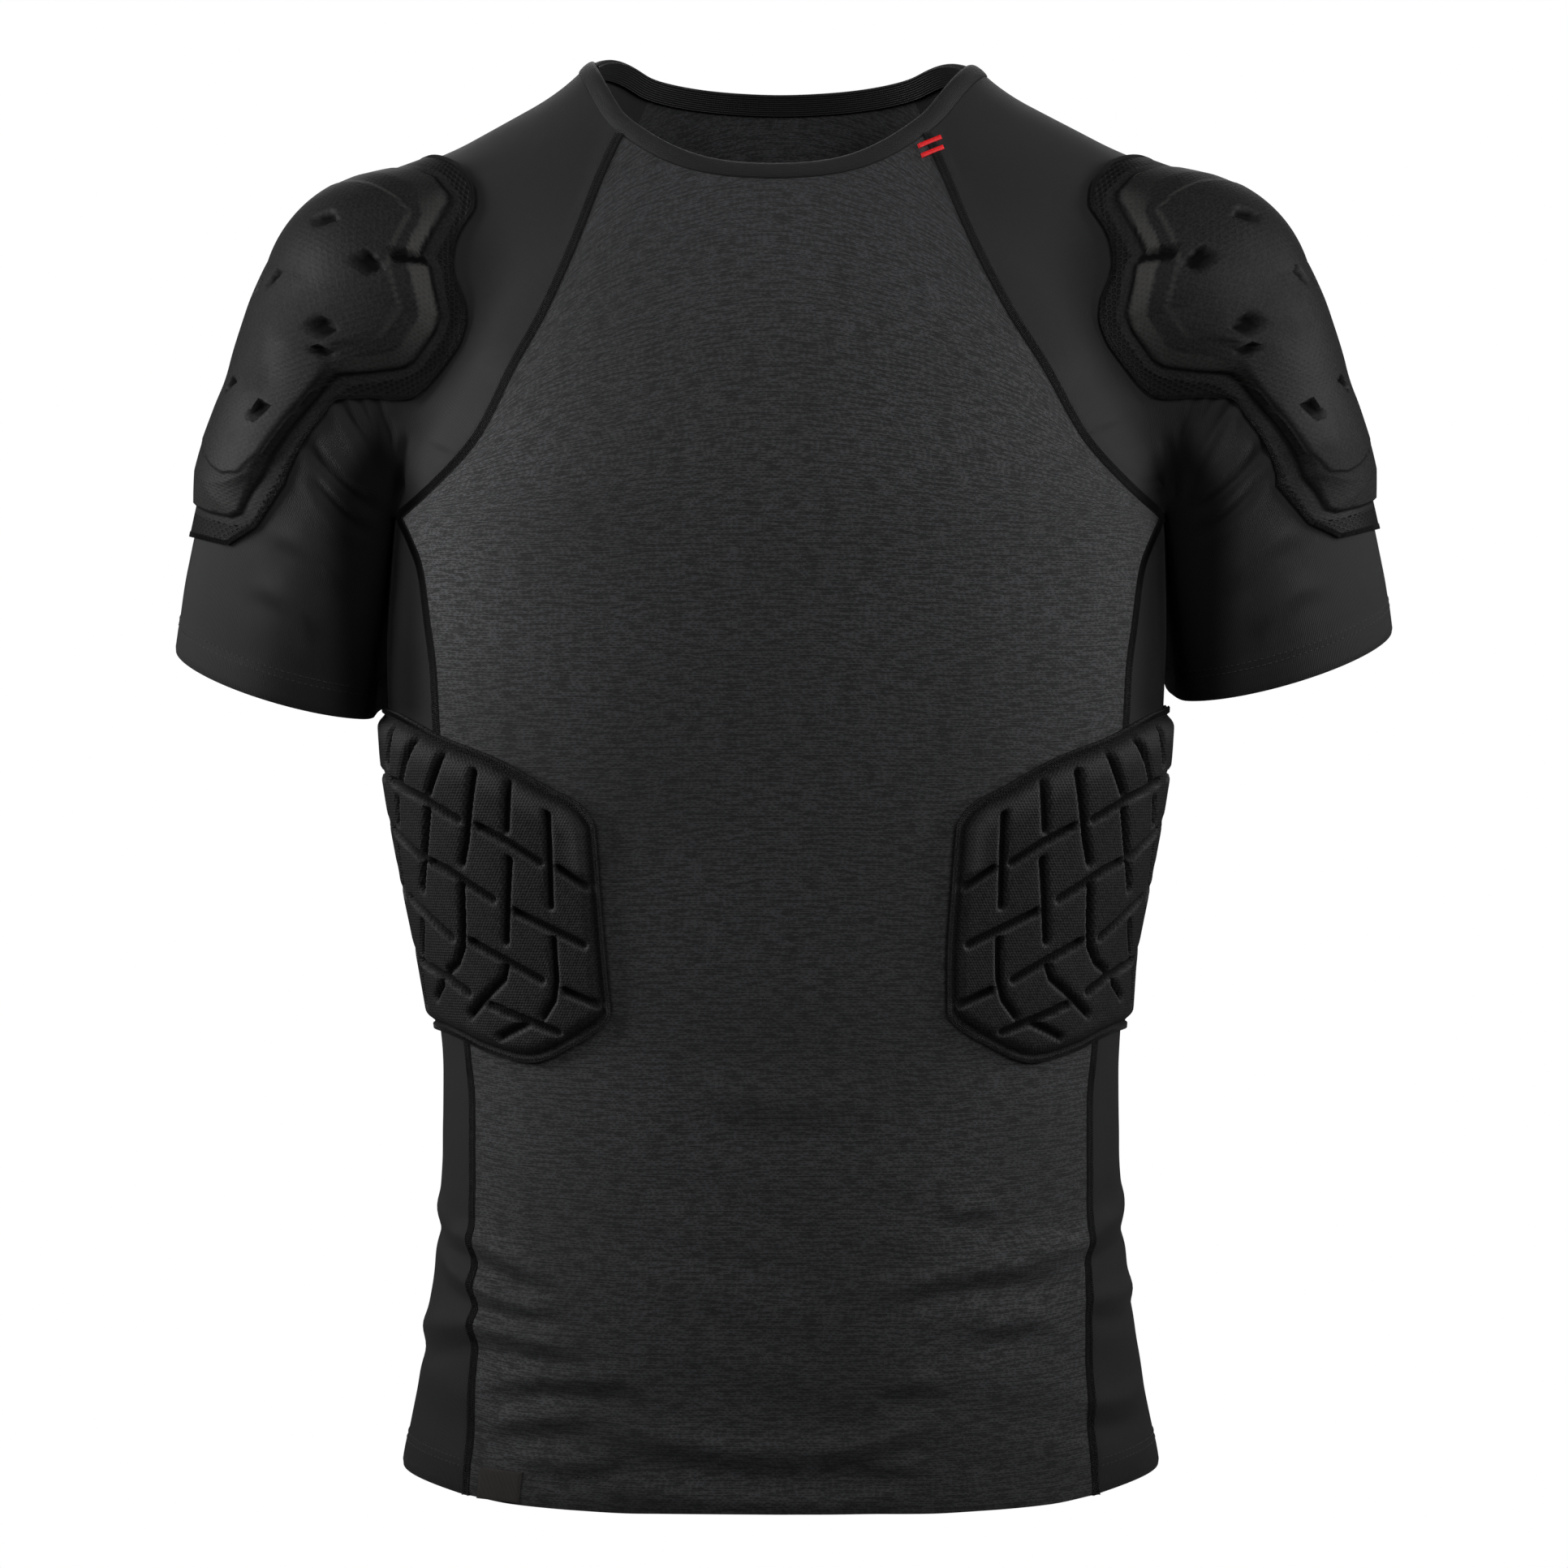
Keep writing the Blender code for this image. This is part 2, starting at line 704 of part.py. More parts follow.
def material(name, colour, roughness):
    """A plain surface of one colour."""
    made = bpy.data.materials.new(name)
    made.use_nodes = True
    shader = made.node_tree.nodes["Principled BSDF"]
    shader.inputs["Base Color"].default_value = (*colour, 1)
    shader.inputs["Roughness"].default_value = roughness
    shader.inputs["Metallic"].default_value = 0
    return made


def hem_wall(grid_rows, columns):
    """Wall inside each point of a body panel: thicker over the turned-up hem."""
    wall = np.full((grid_rows, columns), CLOTH)
    wall[:2] = HEM_CLOTH
    return wall.ravel()


def panel(name, grid, normals, surface, collection):
    """Make a body or side panel from its grid and the normals there."""
    normals = normals.reshape(-1, 3)
    faces = grid_faces(*grid.shape[:2], False)
    points = stand_clear(grid.reshape(-1, 3), normals, faces, SEAM_GAP / 2)
    wall = hem_wall(*grid.shape[:2])
    corners, closed = walled(points, normals, faces, 0, -wall)
    return link(name, corners, closed, surface, collection)


def sleeve(name, side, front, back, underarm, surface, collection):
    """Make a sleeve and give its neck edge."""
    points, normals, faces, neck = sleeve_shell(side, front, back, underarm)
    points = stand_clear(points, normals, faces, SEAM_GAP / 2)
    wall = np.full(len(points), CLOTH)
    wall[:2 * (COLUMNS_SLEEVE + COLUMNS_UNDERARM)] = HEM_CLOTH
    corners, closed = walled(points, normals, faces, 0, -wall)
    link(name, corners, closed, surface, collection)
    return neck


def band(loop, closed, section, gap):
    """Corners and faces of a band of the given section along a line on the form."""
    normals = outward(loop, gap)
    if closed:
        along = np.roll(loop, -1, 0) - np.roll(loop, 1, 0)
    else:
        along = np.gradient(loop, axis=0)
    up = unit(np.cross(normals, along))
    rings = [loop + up * rise + normals * out for rise, out in zip(section["up"], section["out"])]
    rings = np.stack(rings, 1)
    count = len(section["up"])
    faces = []
    for row in range(len(loop) if closed else len(loop) - 1):
        ahead = (row + 1) % len(loop)
        for step in range(count):
            turn = (step + 1) % count
            faces.append((row * count + step, row * count + turn, ahead * count + turn,
                          ahead * count + step))
    if not closed:
        last = (len(loop) - 1) * count
        faces.append(tuple(range(count)))
        faces.append(tuple(last + step for step in reversed(range(count))))
    return rings.reshape(-1, 3), faces


def shoulder_pad(name, side, front, back, surface, collection):
    """Make a shoulder pad: a raised body on a flange, over the top of the arm."""
    half = np.array(SHOULDER_ACROSS)
    body, rim, height = np.concatenate([half[:0:-1] * [-1, 1, 1], half]).T
    sign = np.sign(body)
    column = {key: value[:, None] for key, value in SHOULDER_PAD.items()}
    around = body * column["raised"] + sign * rim * (column["flange"] - column["raised"])
    reach = np.abs(around) / column["flange"]
    share = column["ridge"] + (column["end"] - column["ridge"]) * reach ** 2
    grid = sleeve_points(side, share, around, front, back)
    raised = SHOULDER_FLANGE + SHOULDER_RISE * height * column["rise"]
    closed_part = share[..., None] < 0
    normals = np.where(closed_part, outward(grid, sleeve_gap), outward(grid, figure_gap))
    faces = grid_faces(*grid.shape[:2], False)
    lift = np.broadcast_to(column["lift"] * MM, share.shape)
    corners, closed = walled(grid.reshape(-1, 3), normals.reshape(-1, 3), faces,
                             (lift + raised).ravel(), lift.ravel())
    link(name, corners, closed, surface, collection)


Line = namedtuple("Line", "start end groove bottom")


def groove_lines(grooves, half_width):
    """Lines along both sides and the bottom of each groove, in order."""
    made = []
    for number, (start, end) in enumerate(grooves):
        made.append(Line(start - half_width, end - half_width, number, False))
        made.append(Line(start, end, number, True))
        made.append(Line(start + half_width, end + half_width, number, False))
    return made


def border(*places):
    """Lines that belong to no groove, at the rim of the rib pad."""
    return [Line(place, place, None, False) for place in places]


def rib_depth(across, down):
    """How deep the rib pad is where two lines meet: crossing grooves run over and under."""
    if across.groove is None or down.groove is None:
        return 0.5 if across.bottom or down.bottom else 0
    if across.bottom and down.bottom:
        return 1
    down_on_top = (across.groove + down.groove) % 2 == 0
    return 1 if (down.bottom if down_on_top else across.bottom) else 0


def rib_place(across, down):
    """Turn and height at which two lines of the rib pad meet."""
    turn = down.start + (down.end - down.start) * (across.start + across.end) / 2
    top = smooth_curve(RIB_TURN, RIB_EDGES["top"], abs(turn))
    bottom = smooth_curve(RIB_TURN, RIB_EDGES["bottom"], abs(turn))
    share = across.start + (across.end - across.start) * abs(turn) / RIB_REACH
    return turn, top + (bottom - top) * share


def rim_faces(shape, keep_rows, keep_columns):
    """Faces that join the edge of the outer grid to the coarser grid inside it."""
    rows, columns = shape
    first = rows * columns
    wide = len(keep_columns)
    faces = []
    for k, (a, b) in enumerate(zip(keep_rows, keep_rows[1:])):
        for outer, inner in ((0, 0), (columns - 1, wide - 1)):
            rim = [i * columns + outer for i in range(a, b + 1)]
            faces.append(tuple(rim + [first + (k + 1) * wide + inner, first + k * wide + inner]))
    for k, (a, b) in enumerate(zip(keep_columns, keep_columns[1:])):
        for outer, inner in ((0, 0), (rows - 1, len(keep_rows) - 1)):
            rim = [outer * columns + j for j in range(a, b + 1)]
            faces.append(tuple(rim + [first + inner * wide + k + 1, first + inner * wide + k]))
    return faces


def rib_pad(name, side, surface, collection):
    """Make a rib pad: a bound edge and a body with broken crossing grooves, round the side."""
    middle_and_ahead = groove_lines(RIB_DOWN, RIB_GROOVE_TURN)
    columns = middle_and_ahead + border(RIB_REACH - RIB_LIP_TURN, RIB_REACH)
    behind = [line._replace(start=-line.start, end=-line.end) for line in columns[:2:-1]]
    columns = behind + columns
    rows = border(0, RIB_LIP_HEIGHT) + groove_lines(RIB_ACROSS, RIB_GROOVE_HEIGHT)
    rows += border(1 - RIB_LIP_HEIGHT, 1)
    places = np.array([[rib_place(row, column) for column in columns] for row in rows])
    turn = np.radians(places[..., 0])
    starts = np.stack([0 * turn, 0 * turn, places[..., 1]], -1)
    starts = starts + sway(TORSO_SWAY, starts)
    directions = np.stack([side * np.cos(turn), -np.sin(turn), 0 * turn], -1)
    grid = cast(starts, directions, torso_gap, TORSO_REACH)
    normals = outward(grid, torso_gap)
    depth = np.array([[rib_depth(row, column) for column in columns] for row in rows])
    thick = RIB_BODY - RIB_GROOVE * depth
    thick[[0, -1]] = RIB_LIP
    thick[:, [0, -1]] = RIB_LIP
    outer = grid + normals * (RIB_LIFT + thick)[..., None]
    keep_rows = [i for i, row in enumerate(rows) if not row.bottom]
    keep_columns = [j for j, column in enumerate(columns) if not column.bottom]
    inner = (grid + normals * RIB_LIFT)[np.ix_(keep_rows, keep_columns)]
    corners = np.concatenate([outer.reshape(-1, 3), inner.reshape(-1, 3)])
    faces = grid_faces(*outer.shape[:2], False)
    first = len(rows) * len(columns)
    for face in grid_faces(*inner.shape[:2], False):
        faces.append(tuple(first + v for v in reversed(face)))
    faces += rim_faces(outer.shape[:2], keep_rows, keep_columns)
    link(name, corners, faces, surface, collection)


def hem_label(name, surface, collection):
    """Make the woven label sewn flat on the front, just above the hem."""
    share = np.linspace(-0.5, 0.5, 5)
    across, up = np.meshgrid(share * LABEL_SIZE[0], share * LABEL_SIZE[1])
    tilt = math.radians(LABEL_TILT)
    x = (LABEL_MIDDLE[0] + across * math.cos(tilt) - up * math.sin(tilt)) * MM
    z = (LABEL_MIDDLE[1] + across * math.sin(tilt) + up * math.cos(tilt)) * MM
    grid = sight_front(x, z, body_gap)
    normals = body_outward(grid).reshape(-1, 3)
    faces = grid_faces(5, 5, False)
    corners, closed = walled(grid.reshape(-1, 3), normals, faces, LABEL_LIFT + LABEL_THICK,
                             LABEL_LIFT)
    link(name, corners, closed, surface, collection)


def build():
    """Clear the scene and model every piece."""
    for old in list(bpy.data.objects):
        bpy.data.objects.remove(old, do_unlink=True)
    shirt = bpy.data.collections.new("padded_compression_shirt")
    bpy.context.scene.collection.children.link(shirt)
    textured = material("textured_knit", (0.030, 0.031, 0.034), 0.75)
    smooth = material("smooth_knit", (0.018, 0.018, 0.020), 0.60)
    binding = material("binding_knit", (0.020, 0.020, 0.022), 0.65)
    tape = material("neck_tape", (0.012, 0.012, 0.013), 0.5)
    padding = material("moulded_pad", (0.022, 0.022, 0.024), 0.55)
    woven = material("woven_label", (0.045, 0.038, 0.034), 0.7)

    side_x, side_z = seam_points(SIDE_SEAM, SIDE_SHARES)
    front = body_panel((side_x, side_z), RAGLAN_FRONT, NECK_FRONT, HEM_FRONT,
                       lambda x, z: sight_front(x, z, body_gap))
    up = np.linspace(0, 1, ROWS_SIDE + 1)
    true_side = (front[:ROWS_SIDE + 1, -1, 0] - front[:ROWS_SIDE + 1, 0, 0]) / 2
    true_side = true_side - ARMHOLE_TURN * up ** 3
    true_height = (front[:ROWS_SIDE + 1, -1, 2] + front[:ROWS_SIDE + 1, 0, 2]) / 2
    back = body_panel((true_side, true_height), RAGLAN_BACK, NECK_BACK, HEM_BACK,
                      lambda x, z: drop_back(x, z, body_gap))
    panel("front_panel", front, body_outward(front), textured, shirt)
    panel("back_panel", back, body_outward(back), textured, shirt)

    necks = {}
    for side, letter in ((-1, "L"), (1, "R")):
        edge = 0 if side < 0 else -1
        rows = ROWS_SIDE + 1
        grid = side_panel(side, front[:rows, edge], back[:rows, edge])
        panel("side_panel_" + letter, grid, outward(grid, torso_gap), smooth, shirt)
        necks[side] = sleeve("sleeve_" + letter, side, front[rows - 1:, edge],
                             back[rows - 1:, edge], grid[-1], smooth, shirt)

    loop = np.concatenate([front[-1, :-1], necks[1][:-1], back[-1, :0:-1], necks[-1][:0:-1]])
    corners, faces = band(loop, True, COLLAR_SECTION, figure_gap)
    link("collar_binding", corners, faces, binding, shirt)

    behind = loop[COLUMNS_BODY + COLUMNS_SLEEVE // 2:]
    behind = behind[:COLUMNS_SLEEVE + COLUMNS_BODY + 1]
    corners, faces = band(behind, False, TAPE_SECTION, figure_gap)
    link("neck_tape", corners, faces, tape, shirt)
    hem_label("hem_label", woven, shirt)
    for side, letter in ((-1, "L"), (1, "R")):
        edge = 0 if side < 0 else -1
        shoulder_pad("shoulder_pad_" + letter, side, front[ROWS_SIDE:, edge],
                     back[ROWS_SIDE:, edge], padding, shirt)
        rib_pad("rib_pad_" + letter, side, padding, shirt)


build()
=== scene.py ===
# %% [markdown]
# # A padded compression shirt, dressed
#
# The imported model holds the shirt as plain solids, one for each piece that a maker cuts and
# sews. This lesson gives every piece its cloth, creases, sewing and padding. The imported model
# stays as it is. Each new piece stands where its solid stands and hides it.
#
# The order is: the form that all the cloth lies on, its creases, the finishes, the panels, the
# sewing, the pads, the small trims, and last the lights and the camera.

import json
import math

import bmesh
import bpy
import numpy as np
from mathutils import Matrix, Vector

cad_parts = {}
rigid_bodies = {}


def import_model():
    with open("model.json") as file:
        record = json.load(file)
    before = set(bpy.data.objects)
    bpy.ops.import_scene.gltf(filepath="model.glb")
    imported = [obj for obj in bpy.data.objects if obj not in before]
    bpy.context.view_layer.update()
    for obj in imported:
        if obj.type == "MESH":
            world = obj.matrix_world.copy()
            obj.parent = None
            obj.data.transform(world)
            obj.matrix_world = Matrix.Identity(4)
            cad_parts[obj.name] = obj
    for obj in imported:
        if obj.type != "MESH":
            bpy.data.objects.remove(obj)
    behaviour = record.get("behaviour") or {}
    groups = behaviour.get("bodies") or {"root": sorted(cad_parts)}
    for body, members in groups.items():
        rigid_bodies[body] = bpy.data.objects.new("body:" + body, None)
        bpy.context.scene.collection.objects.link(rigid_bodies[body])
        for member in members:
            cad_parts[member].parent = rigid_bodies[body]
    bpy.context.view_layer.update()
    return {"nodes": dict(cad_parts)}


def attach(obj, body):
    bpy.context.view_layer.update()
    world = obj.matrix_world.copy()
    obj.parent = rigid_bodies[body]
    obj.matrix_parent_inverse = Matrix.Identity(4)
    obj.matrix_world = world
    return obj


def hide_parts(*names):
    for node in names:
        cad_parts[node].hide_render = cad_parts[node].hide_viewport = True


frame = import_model()
bpy.ops.object.select_all(action="DESELECT")
MM = 0.001
SIDES = ((-1, "L"), (1, "R"))   # the viewer's left and right
EDGE = {-1: 0, 1: -1}           # the outermost column of front and back on each side
print("packed nodes:", len(frame["nodes"]))

# %% [markdown]
# ## Small helpers
#
# A garment is drawn with short tables: a girth at each height, a seam point by point. A table
# here has named columns in millimetres. A smooth curve runs through its rows without
# overshooting, as a tailor's curve does. Two forms are joined with a fillet by `blend`.

# %% Tables and smooth curves
def table(columns, rows):
    """Name the columns of a short table of sizes in millimetres and give them in metres."""
    return dict(zip(columns.split(), np.array(rows, float).T * MM))


def smooth_curve(keys, values, at):
    """Run a smooth curve through the rows of a table, with no overshoot between rows."""
    order = np.argsort(keys)
    keys = np.asarray(keys)[order]
    values = np.asarray(values)[order]
    steps = np.diff(keys)
    slopes = np.diff(values) / steps
    tangents = np.empty_like(values)
    tangents[0] = slopes[0]
    tangents[-1] = slopes[-1]
    same_way = slopes[:-1] * slopes[1:] > 0
    mean = 2 * slopes[:-1] * slopes[1:] / np.where(same_way, slopes[:-1] + slopes[1:], 1)
    tangents[1:-1] = np.where(same_way, mean, 0)
    at = np.clip(at, keys[0], keys[-1])
    row = np.clip(np.searchsorted(keys, at) - 1, 0, len(steps) - 1)
    part = (at - keys[row]) / steps[row]
    rest = 1 - part
    low = values[row] * (1 + 2 * part) + steps[row] * tangents[row] * part
    high = values[row + 1] * (3 - 2 * part) - steps[row] * tangents[row + 1] * rest
    return low * rest ** 2 + high * part ** 2


def soft_step(share):
    """Ease a share in from zero and out to one."""
    return share * share * (3 - 2 * share)


def unit(vectors):
    """Scale vectors to length one."""
    return vectors / np.linalg.norm(vectors, axis=-1, keepdims=True)


def running(steps, axis=0):
    """Running totals of steps along an axis, from zero."""
    totals = np.cumsum(steps, axis)
    return np.concatenate([np.zeros_like(totals.take([0], axis)), totals], axis)


def distances(points, axis=0):
    """How far along a line, or along the lines of a grid, each point is."""
    return running(np.linalg.norm(np.diff(points, axis=axis), axis=-1), axis)


def blend(first, second, reach):
    """Join two forms, given as distances, with a fillet of the given reach."""
    overlap = np.maximum(reach - np.abs(first - second), 0) / reach
    return np.minimum(first, second) - overlap ** 2 * reach / 4


# %% [markdown]
# ## The form under the cloth
#
# The shirt is shown filled out, with nobody in it, so its panels lie on one smooth form: a
# torso, two yokes over the shoulders and two arms. Each is a distance: negative inside, zero on
# the outside of the cloth. Sculpting would give such a form too, but a distance can be asked at
# any point and as finely as needed, so that panels, seams and pads made from it always agree.

# %% Sizes of torso, yoke and arm
# Level sections of the torso under the pads, from below the hem to above the neck
TORSO = table("z half_width front back", [
    (-760, 186, 110, 112), (-700, 186, 109, 111), (-650, 178, 108, 108), (-600, 171, 106, 103),
    (-560, 167, 104, 98), (-500, 166, 103, 94), (-450, 170.5, 105, 94), (-400, 180, 109, 97),
    (-340, 189.5, 115, 104), (-280, 191.5, 120, 109), (-226, 191.5, 122, 112),
    (-150, 176, 113, 110), (-100, 160, 96, 101), (-60, 132, 74, 88), (-30, 88, 58, 76),
    (0, 80, 40, 62), (40, 60, 20, 45),
])
TORSO_SQUARENESS = 2.35     # 2 would make each section an ellipse
# Sections across the arm, from the shoulder down
ARM = table("along half_width half_depth", [
    (0, 37, 43), (26, 50.5, 53), (52, 60.5, 58.5), (78, 64, 60.5), (104, 65, 60.5),
    (156, 62, 58.5), (208, 55.5, 55), (260, 54, 54),
])
ARM_TOP = np.array([191.5, 0, -121]) * MM
ARM_END = np.array([246, 20, -300]) * MM
YOKE_NECK = np.array([47, 4, -48]) * MM
YOKE_NECK_RADIUS = 56.5 * MM
YOKE_ARM_RADIUS = 52 * MM
YOKE_BLEND = 30 * MM
# How far off centre arms and torso hang, and how wide the arm's fillet is, by height
ARM_SWAY = table("z x", [
    (-760, 2), (-220, 2.2), (-150, 3.3), (-90, 3.2), (-50, 2.2), (0, 0), (40, 0),
])
TORSO_SWAY = table("z x", [
    (-760, 0), (-490, 0), (-430, -2.3), (-320, -2.5), (-226, -1), (-150, 0), (40, 0),
])
ARM_BLEND = table("z reach", [
    (-760, 3), (-226, 3), (-205, 14), (-170, 40), (-120, 55), (40, 55),
])
SEAM_GAP = 0.36 * MM        # air between two pieces along a seam
PIT_HEIGHT = -226 * MM      # lowest point of the armhole
BODY_ONLY = PIT_HEIGHT + 0.01 * MM   # up to here the body is the torso alone
PIT_BLEND = 5 * MM          # fillet where a sleeve stops short of the torso
SLEEVE_ROOM = 4.5 * MM      # more air between sleeve and torso at this depth under the armhole
ROOM_DEPTH = 90 * MM
CUFF_REACH = {-1: 1.035, 1: 0.985}   # sleeve length on each side, as a share of the arm table
CUFF_SLANT = 6 * MM         # how much lower a cuff is in front than at its sides
NECK_LEAN = -4 * MM         # the front neckline sits this far off centre
LEAN_START = -200 * MM      # and the front leans towards it from this height, over this span
LEAN_SPAN = 150 * MM
CLOTH = 1.3 * MM            # thickness of a cloth wall
SIGHT = np.array([1.5, -2450.0, -358.0]) * MM   # where the front is seen from
SIGHT_START = 2250 * MM     # how far along a line of sight the search for the form begins
TORSO_REACH = 260 * MM      # how far a ray is followed to find the torso
ARM_SPREAD = 130 * MM       # and to find a sleeve
BEHIND = 200 * MM           # where rays onto the back start
ARM_AXIS = unit(ARM_END - ARM_TOP)
ARM_OUT = unit(np.cross(ARM_AXIS, [0, 1, 0]))
ARM_BACK = np.cross(ARM_OUT, ARM_AXIS)
ARM_REACH = np.linalg.norm(ARM_END - ARM_TOP)
CUFF_FRONT = unit(-0.55 * ARM_OUT - 0.83 * ARM_BACK)
CUFF_BACK = unit(-0.55 * ARM_OUT + 0.83 * ARM_BACK)

# %% Distances to the form
def sway(offsets, points):
    """How far off centre the shirt hangs at the height of each point."""
    shift = smooth_curve(offsets["z"], offsets["x"], points[..., 2])
    return shift[..., None] * [1, 0, 0]


def own_side(points):
    """Mirror the left side onto the right, about the plane midway between the arms."""
    points = points - sway(ARM_SWAY, points)
    return points * np.where(points[..., :1] < 0, [-1, 1, 1], 1)


def put_on_side(side, points):
    """Put places on the right arm at the same places on the arm of the given side."""
    return points * [side, 1, 1] + sway(ARM_SWAY, points)


def torso_gap(points):
    """Distance of points from the torso, near enough, and negative inside it."""
    x, y, z = np.moveaxis(points - sway(TORSO_SWAY, points), -1, 0)
    width = smooth_curve(TORSO["z"], TORSO["half_width"], z)
    front = smooth_curve(TORSO["z"], TORSO["front"], z)
    back = smooth_curve(TORSO["z"], TORSO["back"], z)
    depth = np.where(y < 0, front, back)
    n = TORSO_SQUARENESS
    share = (np.abs(x / width) ** n + np.abs(y / depth) ** n) ** (1 / n)
    return (share - 1) * np.sqrt(width * depth)


def arm_gap(points):
    """Distance of points from the arm on their own side."""
    points = own_side(points)
    from_top = points - ARM_TOP
    along = from_top @ ARM_AXIS
    across = from_top @ ARM_OUT
    back = from_top @ ARM_BACK
    width = smooth_curve(ARM["along"], ARM["half_width"], along)
    depth = smooth_curve(ARM["along"], ARM["half_depth"], along)
    above = np.minimum(along, 0) / width
    share = np.sqrt((across / width) ** 2 + (back / depth) ** 2 + above ** 2)
    return (share - 1) * np.sqrt(width * depth)


def yoke_gap(points):
    """Distance of points from the tapered bar between neck and shoulder on their own side."""
    points = own_side(points)
    span = ARM_TOP - YOKE_NECK
    share = np.clip((points - YOKE_NECK) @ span / (span @ span), 0, 1)
    nearest = YOKE_NECK + share[..., None] * span
    radius = YOKE_NECK_RADIUS + share * (YOKE_ARM_RADIUS - YOKE_NECK_RADIUS)
    return np.linalg.norm(points - nearest, axis=-1) - radius


def figure_gap(points):
    """Distance of points from torso, yokes and arms blended together."""
    reach = smooth_curve(ARM_BLEND["z"], ARM_BLEND["reach"], points[..., 2])
    upper = blend(torso_gap(points), yoke_gap(points), YOKE_BLEND)
    return blend(upper, arm_gap(points), reach)


def body_gap(points):
    """The form of front, back and sides: the torso alone below the armhole."""
    below = points[..., 2] <= BODY_ONLY
    return np.where(below, torso_gap(points), figure_gap(points))


def sleeve_gap(points):
    """The form of the closed part of a sleeve: an arm that stops just short of the torso."""
    drop = np.maximum(PIT_HEIGHT - points[..., 2], 0) / ROOM_DEPTH
    room = SEAM_GAP + SLEEVE_ROOM * drop ** 1.3
    return -blend(-arm_gap(points), torso_gap(points) - room, PIT_BLEND)


def outward(points, gap):
    """Unit normals of a form at points near it."""
    step = 0.05 * MM
    slopes = []
    for axis in np.eye(3):
        slopes.append(gap(points + axis * step) - gap(points - axis * step))
    return unit(np.stack(slopes, -1))


def body_outward(points):
    """Unit normals of the body, with the torso alone below the armhole."""
    below = points[..., 2:] <= BODY_ONLY
    return np.where(below, outward(points, torso_gap), outward(points, figure_gap))


# %% [markdown]
# ## Throwing points onto the form
#
# A seam is drawn flat, as the eye sees it from the front, and then thrown onto the form along
# lines of sight. `cast` walks each ray in steps until it crosses the form and then halves the
# last step. Blender's Shrinkwrap modifier does this for a mesh. Here it works on the distance,
# so no helper mesh is needed.

# %% Rays onto the form
def cast(starts, directions, gap, reach, samples=30, halvings=13):
    """First places where rays change sides of a form."""
    shape = np.broadcast_shapes(np.shape(starts), np.shape(directions))
    starts = np.broadcast_to(starts, shape)
    directions = np.broadcast_to(directions, shape)
    steps = np.linspace(0, reach, samples)
    begins_inside = gap(starts) < 0
    near = np.zeros(shape[:-1])
    far = np.full(shape[:-1], reach)
    found = np.zeros(shape[:-1], bool)
    for step, last in zip(steps[1:], steps[:-1]):
        crossed = (gap(starts + directions * step) < 0) != begins_inside
        new = crossed & ~found
        near[new] = last
        far[new] = step
        found |= crossed
    for _ in range(halvings):
        middle = (near + far) / 2
        same = (gap(starts + directions * middle[..., None]) < 0) == begins_inside
        near = np.where(same, middle, near)
        far = np.where(same, far, middle)
    return starts + directions * far[..., None]


def lean(x, z):
    """Shift a front seam sideways where the neckline sits off centre."""
    return x + NECK_LEAN * soft_step(np.clip((z - LEAN_START) / LEAN_SPAN, 0, 1))


def sight_front(x, z, gap):
    """Drop sighted front points onto the form."""
    targets = np.stack([lean(x, z), np.zeros_like(x), z], -1)
    directions = unit(targets - SIGHT)
    starts = SIGHT + directions * SIGHT_START
    return cast(starts, directions, gap, TORSO_REACH)


def drop_back(x, z, gap):
    """Drop points of the back onto the form, straight from behind."""
    starts = np.stack([x, np.full_like(x, BEHIND), z], -1)
    return cast(starts, np.array([0.0, -1.0, 0.0]), gap, BEHIND)


# %% [markdown]
# ## Seams
#
# Raglan sleeves run from the neckline to the armhole, so the front and back are each bounded by
# two raglan seams, two side seams, the neckline and the hem. The tables hold half of each seam.
# The other half is its mirror image.

# %% Seam tables
SIDE_SEAM = table("x z", [
    (155.5, -708.4), (153.0, -671), (151.8, -621), (152.2, -574), (152.2, -518), (154.5, -489),
    (160.0, -432), (165.5, -372), (170.0, -330), (171.5, -302), (174.5, -278), (178.0, -252),
    (183.0, -238), (188.6, -226),
])
RAGLAN_FRONT = table("x z", [
    (188.6, -226), (171.0, -210), (150.5, -187), (131.0, -151), (115.5, -125), (98.5, -90),
    (86.5, -60), (78.6, -35.4),
])
NECK_FRONT = table("x z", [
    (0, -60), (20, -59.2), (36, -57.2), (55.4, -51.2), (67.8, -43.6), (78.6, -35.4),
])
RAGLAN_BACK = table("x z", [
    (174.5, -226), (163.0, -210), (147.0, -187), (131.0, -151), (119.0, -125), (103.0, -90),
    (88.0, -60), (77.0, -33), (70.0, -12),
])
NECK_BACK = table("x z", [
    (0, -18), (35, -16.5), (55, -14.5), (70, -12),
])
HEM_FRONT = table("x z", [
    (0, -718.4), (70, -718), (100, -716.4), (133, -713.2), (155.5, -708.4),
])
HEM_BACK = table("x z", [
    (0, -702), (90, -701.5), (150, -698),
])
HEM_SIDE_RISE = 7 * MM
UNDERARM_DIP = 4 * MM
ARMHOLE_TURN = 11 * MM      # the back armhole point sits this much further in than the front one
# Middles of a sleeve's rows, from the armhole to the neck, and how far their tops lean, in degrees
SLEEVE_ROWS = table("share x y z", [
    (0, 219, 11, -213.8), (250, 200, 6, -165), (500, 176, 2, -122), (750, 135, 2, -85),
    (1000, 82, 4, -50),
])
SLEEVE_LEAN = np.array([16, 24, 45, 60, 68])
